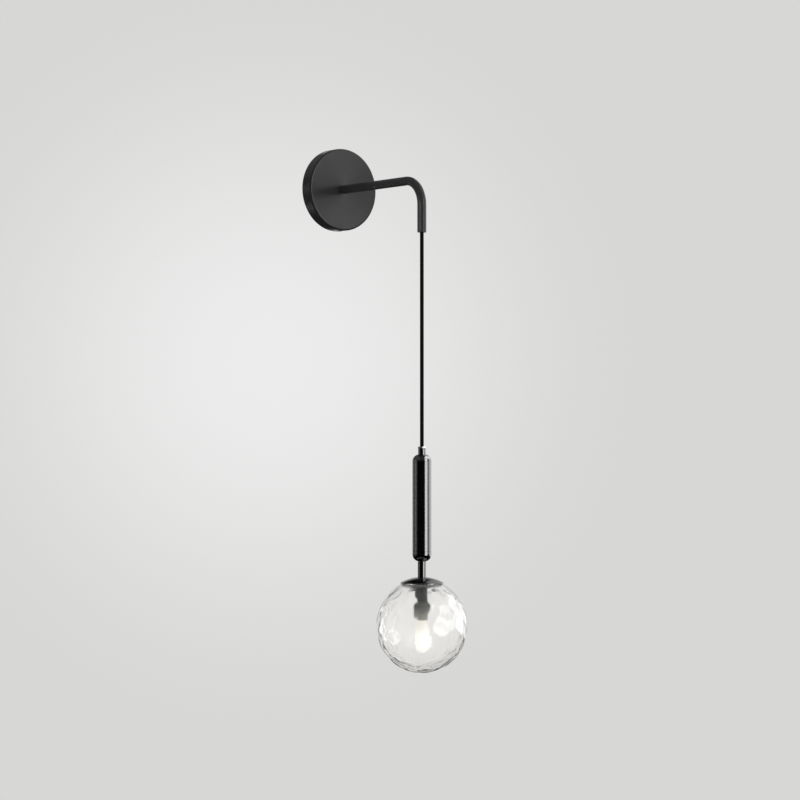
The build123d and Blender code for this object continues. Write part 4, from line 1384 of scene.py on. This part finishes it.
    def mirrored_room(self, graph: Graph, direction: Socket, heading: Socket) -> Socket:
        """Dark room with its pale patches, as polished surfaces mirror it.

        Args:
            graph: the world's graph.
            direction: the direction that is looked in.
            heading: its heading.

        Returns:
            The room's colour.
        """
        rise = graph.part("Z", direction)
        ahead = graph.math("COSINE", graph.math("SUBTRACT", heading, self.camera_heading))
        ceiling = graph.spread(ahead, *self.ceiling_turns, self.room, self.ceiling)
        colour = graph.spread(rise, *self.ceiling_rises, self.room, ceiling)
        for patch in self.patches:
            first, last = (math.radians(turn) for turn in patch.headings)
            low, high = patch.rises
            soft = math.radians(patch.soft_heading)
            mask = graph.product(
                graph.spread(heading, first, first + soft), graph.spread(heading, last, last - soft),
                graph.spread(rise, low, low + patch.soft_rise),
                graph.spread(rise, high, high - patch.soft_rise))
            colour = graph.blend(mask, colour, (patch.brightness,) * 3)
        forward = (math.sin(self.camera_heading), math.cos(self.camera_heading), 0.0)
        behind = graph.vector("DOT_PRODUCT", direction, forward)
        return graph.blend(graph.spread(behind, *self.backdrop_turns), colour, self.backdrop)

    def lined_wall(self, graph: Graph, heading: Socket) -> Socket:
        """Pale wall with darker upright bands, as it shows through the glass.

        Args:
            graph: the world's graph.
            heading: heading of the direction that is looked in.

        Returns:
            The wall's colour.
        """
        aside = graph.math("SUBTRACT", heading, self.camera_heading + self.glass_line_turn)
        wave = graph.math("COSINE", graph.product(aside, self.glass_line_count))
        band = graph.spread(wave, self.glass_line_start, 1.0)
        return graph.blend(band, self.behind_glass, self.glass_lines)

    def glowing_wall(self, graph: Graph, direction: Socket) -> Socket:
        """Pale backdrop with a soft bright patch.

        Args:
            graph: the world's graph.
            direction: the direction that is looked in.

        Returns:
            The backdrop's colour.
        """
        heading = self.camera_heading + self.glow_aside[0]
        pitch = self.camera_pitch + self.glow_aside[1]
        towards = (math.sin(heading) * math.cos(pitch), math.cos(heading) * math.cos(pitch), math.sin(pitch))
        facing = graph.vector("DOT_PRODUCT", direction, towards)
        patch = graph.spread(graph.math("ARCCOSINE", facing), self.glow_reach, 0.0)
        return graph.blend(patch, self.backdrop, self.glow)

    def add_floor(self) -> None:
        """Adds a pale floor that keeps the lamp's shadow."""
        shape = bmesh.new()
        bmesh.ops.create_circle(shape, cap_ends=True, segments=self.floor_segments, radius=self.floor_radius)
        mesh = bpy.data.meshes.new("studio_floor")
        shape.to_mesh(mesh)
        shape.free()
        mesh.materials.append(self.floor_material())
        floor = place("studio_floor", mesh)
        floor.location = (0.0, LAMP_LINE_Y, self.floor_height)

    def floor_material(self) -> bpy.types.Material:
        """Builds the floor's material: shaded near the lamp, plain further off, and dark in mirrors.

        Returns:
            The material.
        """
        material = bpy.data.materials.new("pale_floor")
        material.use_nodes = True
        graph = Graph(material.node_tree)
        rays = graph.add("ShaderNodeLightPath").outputs
        through_glass = rays["Is Transmission Ray"]
        shader = material.node_tree.nodes["Principled BSDF"]
        graph.feed(shader.inputs["Base Color"], self.floor_colour)
        graph.feed(shader.inputs["Roughness"], self.floor_roughness)
        plain = graph.emission(graph.blend(through_glass, self.backdrop, self.behind_glass))
        near = graph.spread(graph.vector("LENGTH", graph.own_place()), *self.shadow_reach)
        near = graph.product(near, graph.spread(through_glass, 0.0, 1.0, 1.0, self.shadow_in_glass))
        seen = graph.shader_blend(near, plain, shader.outputs[0])
        only_mirrored = graph.math("SUBTRACT", rays["Is Glossy Ray"], through_glass)
        final = graph.shader_blend(only_mirrored, seen, graph.emission((self.room,) * 3))
        graph.feed(material.node_tree.nodes["Material Output"].inputs["Surface"], final)
        return material


def main() -> None:
    """Builds the light and its studio, piece by piece."""
    studio = Studio()
    studio.build()
    for sub_assembly in (HangingCord, Canopy, Arm, CordGrip, Barrel, GlobeCap, LampHolder, GlassGlobe, Bulb):
        sub_assembly().build()
    studio.share_lamps()


if __name__ == "__main__":
    logging.basicConfig(level=logging.INFO, format="%(name)s: %(message)s")
    main()
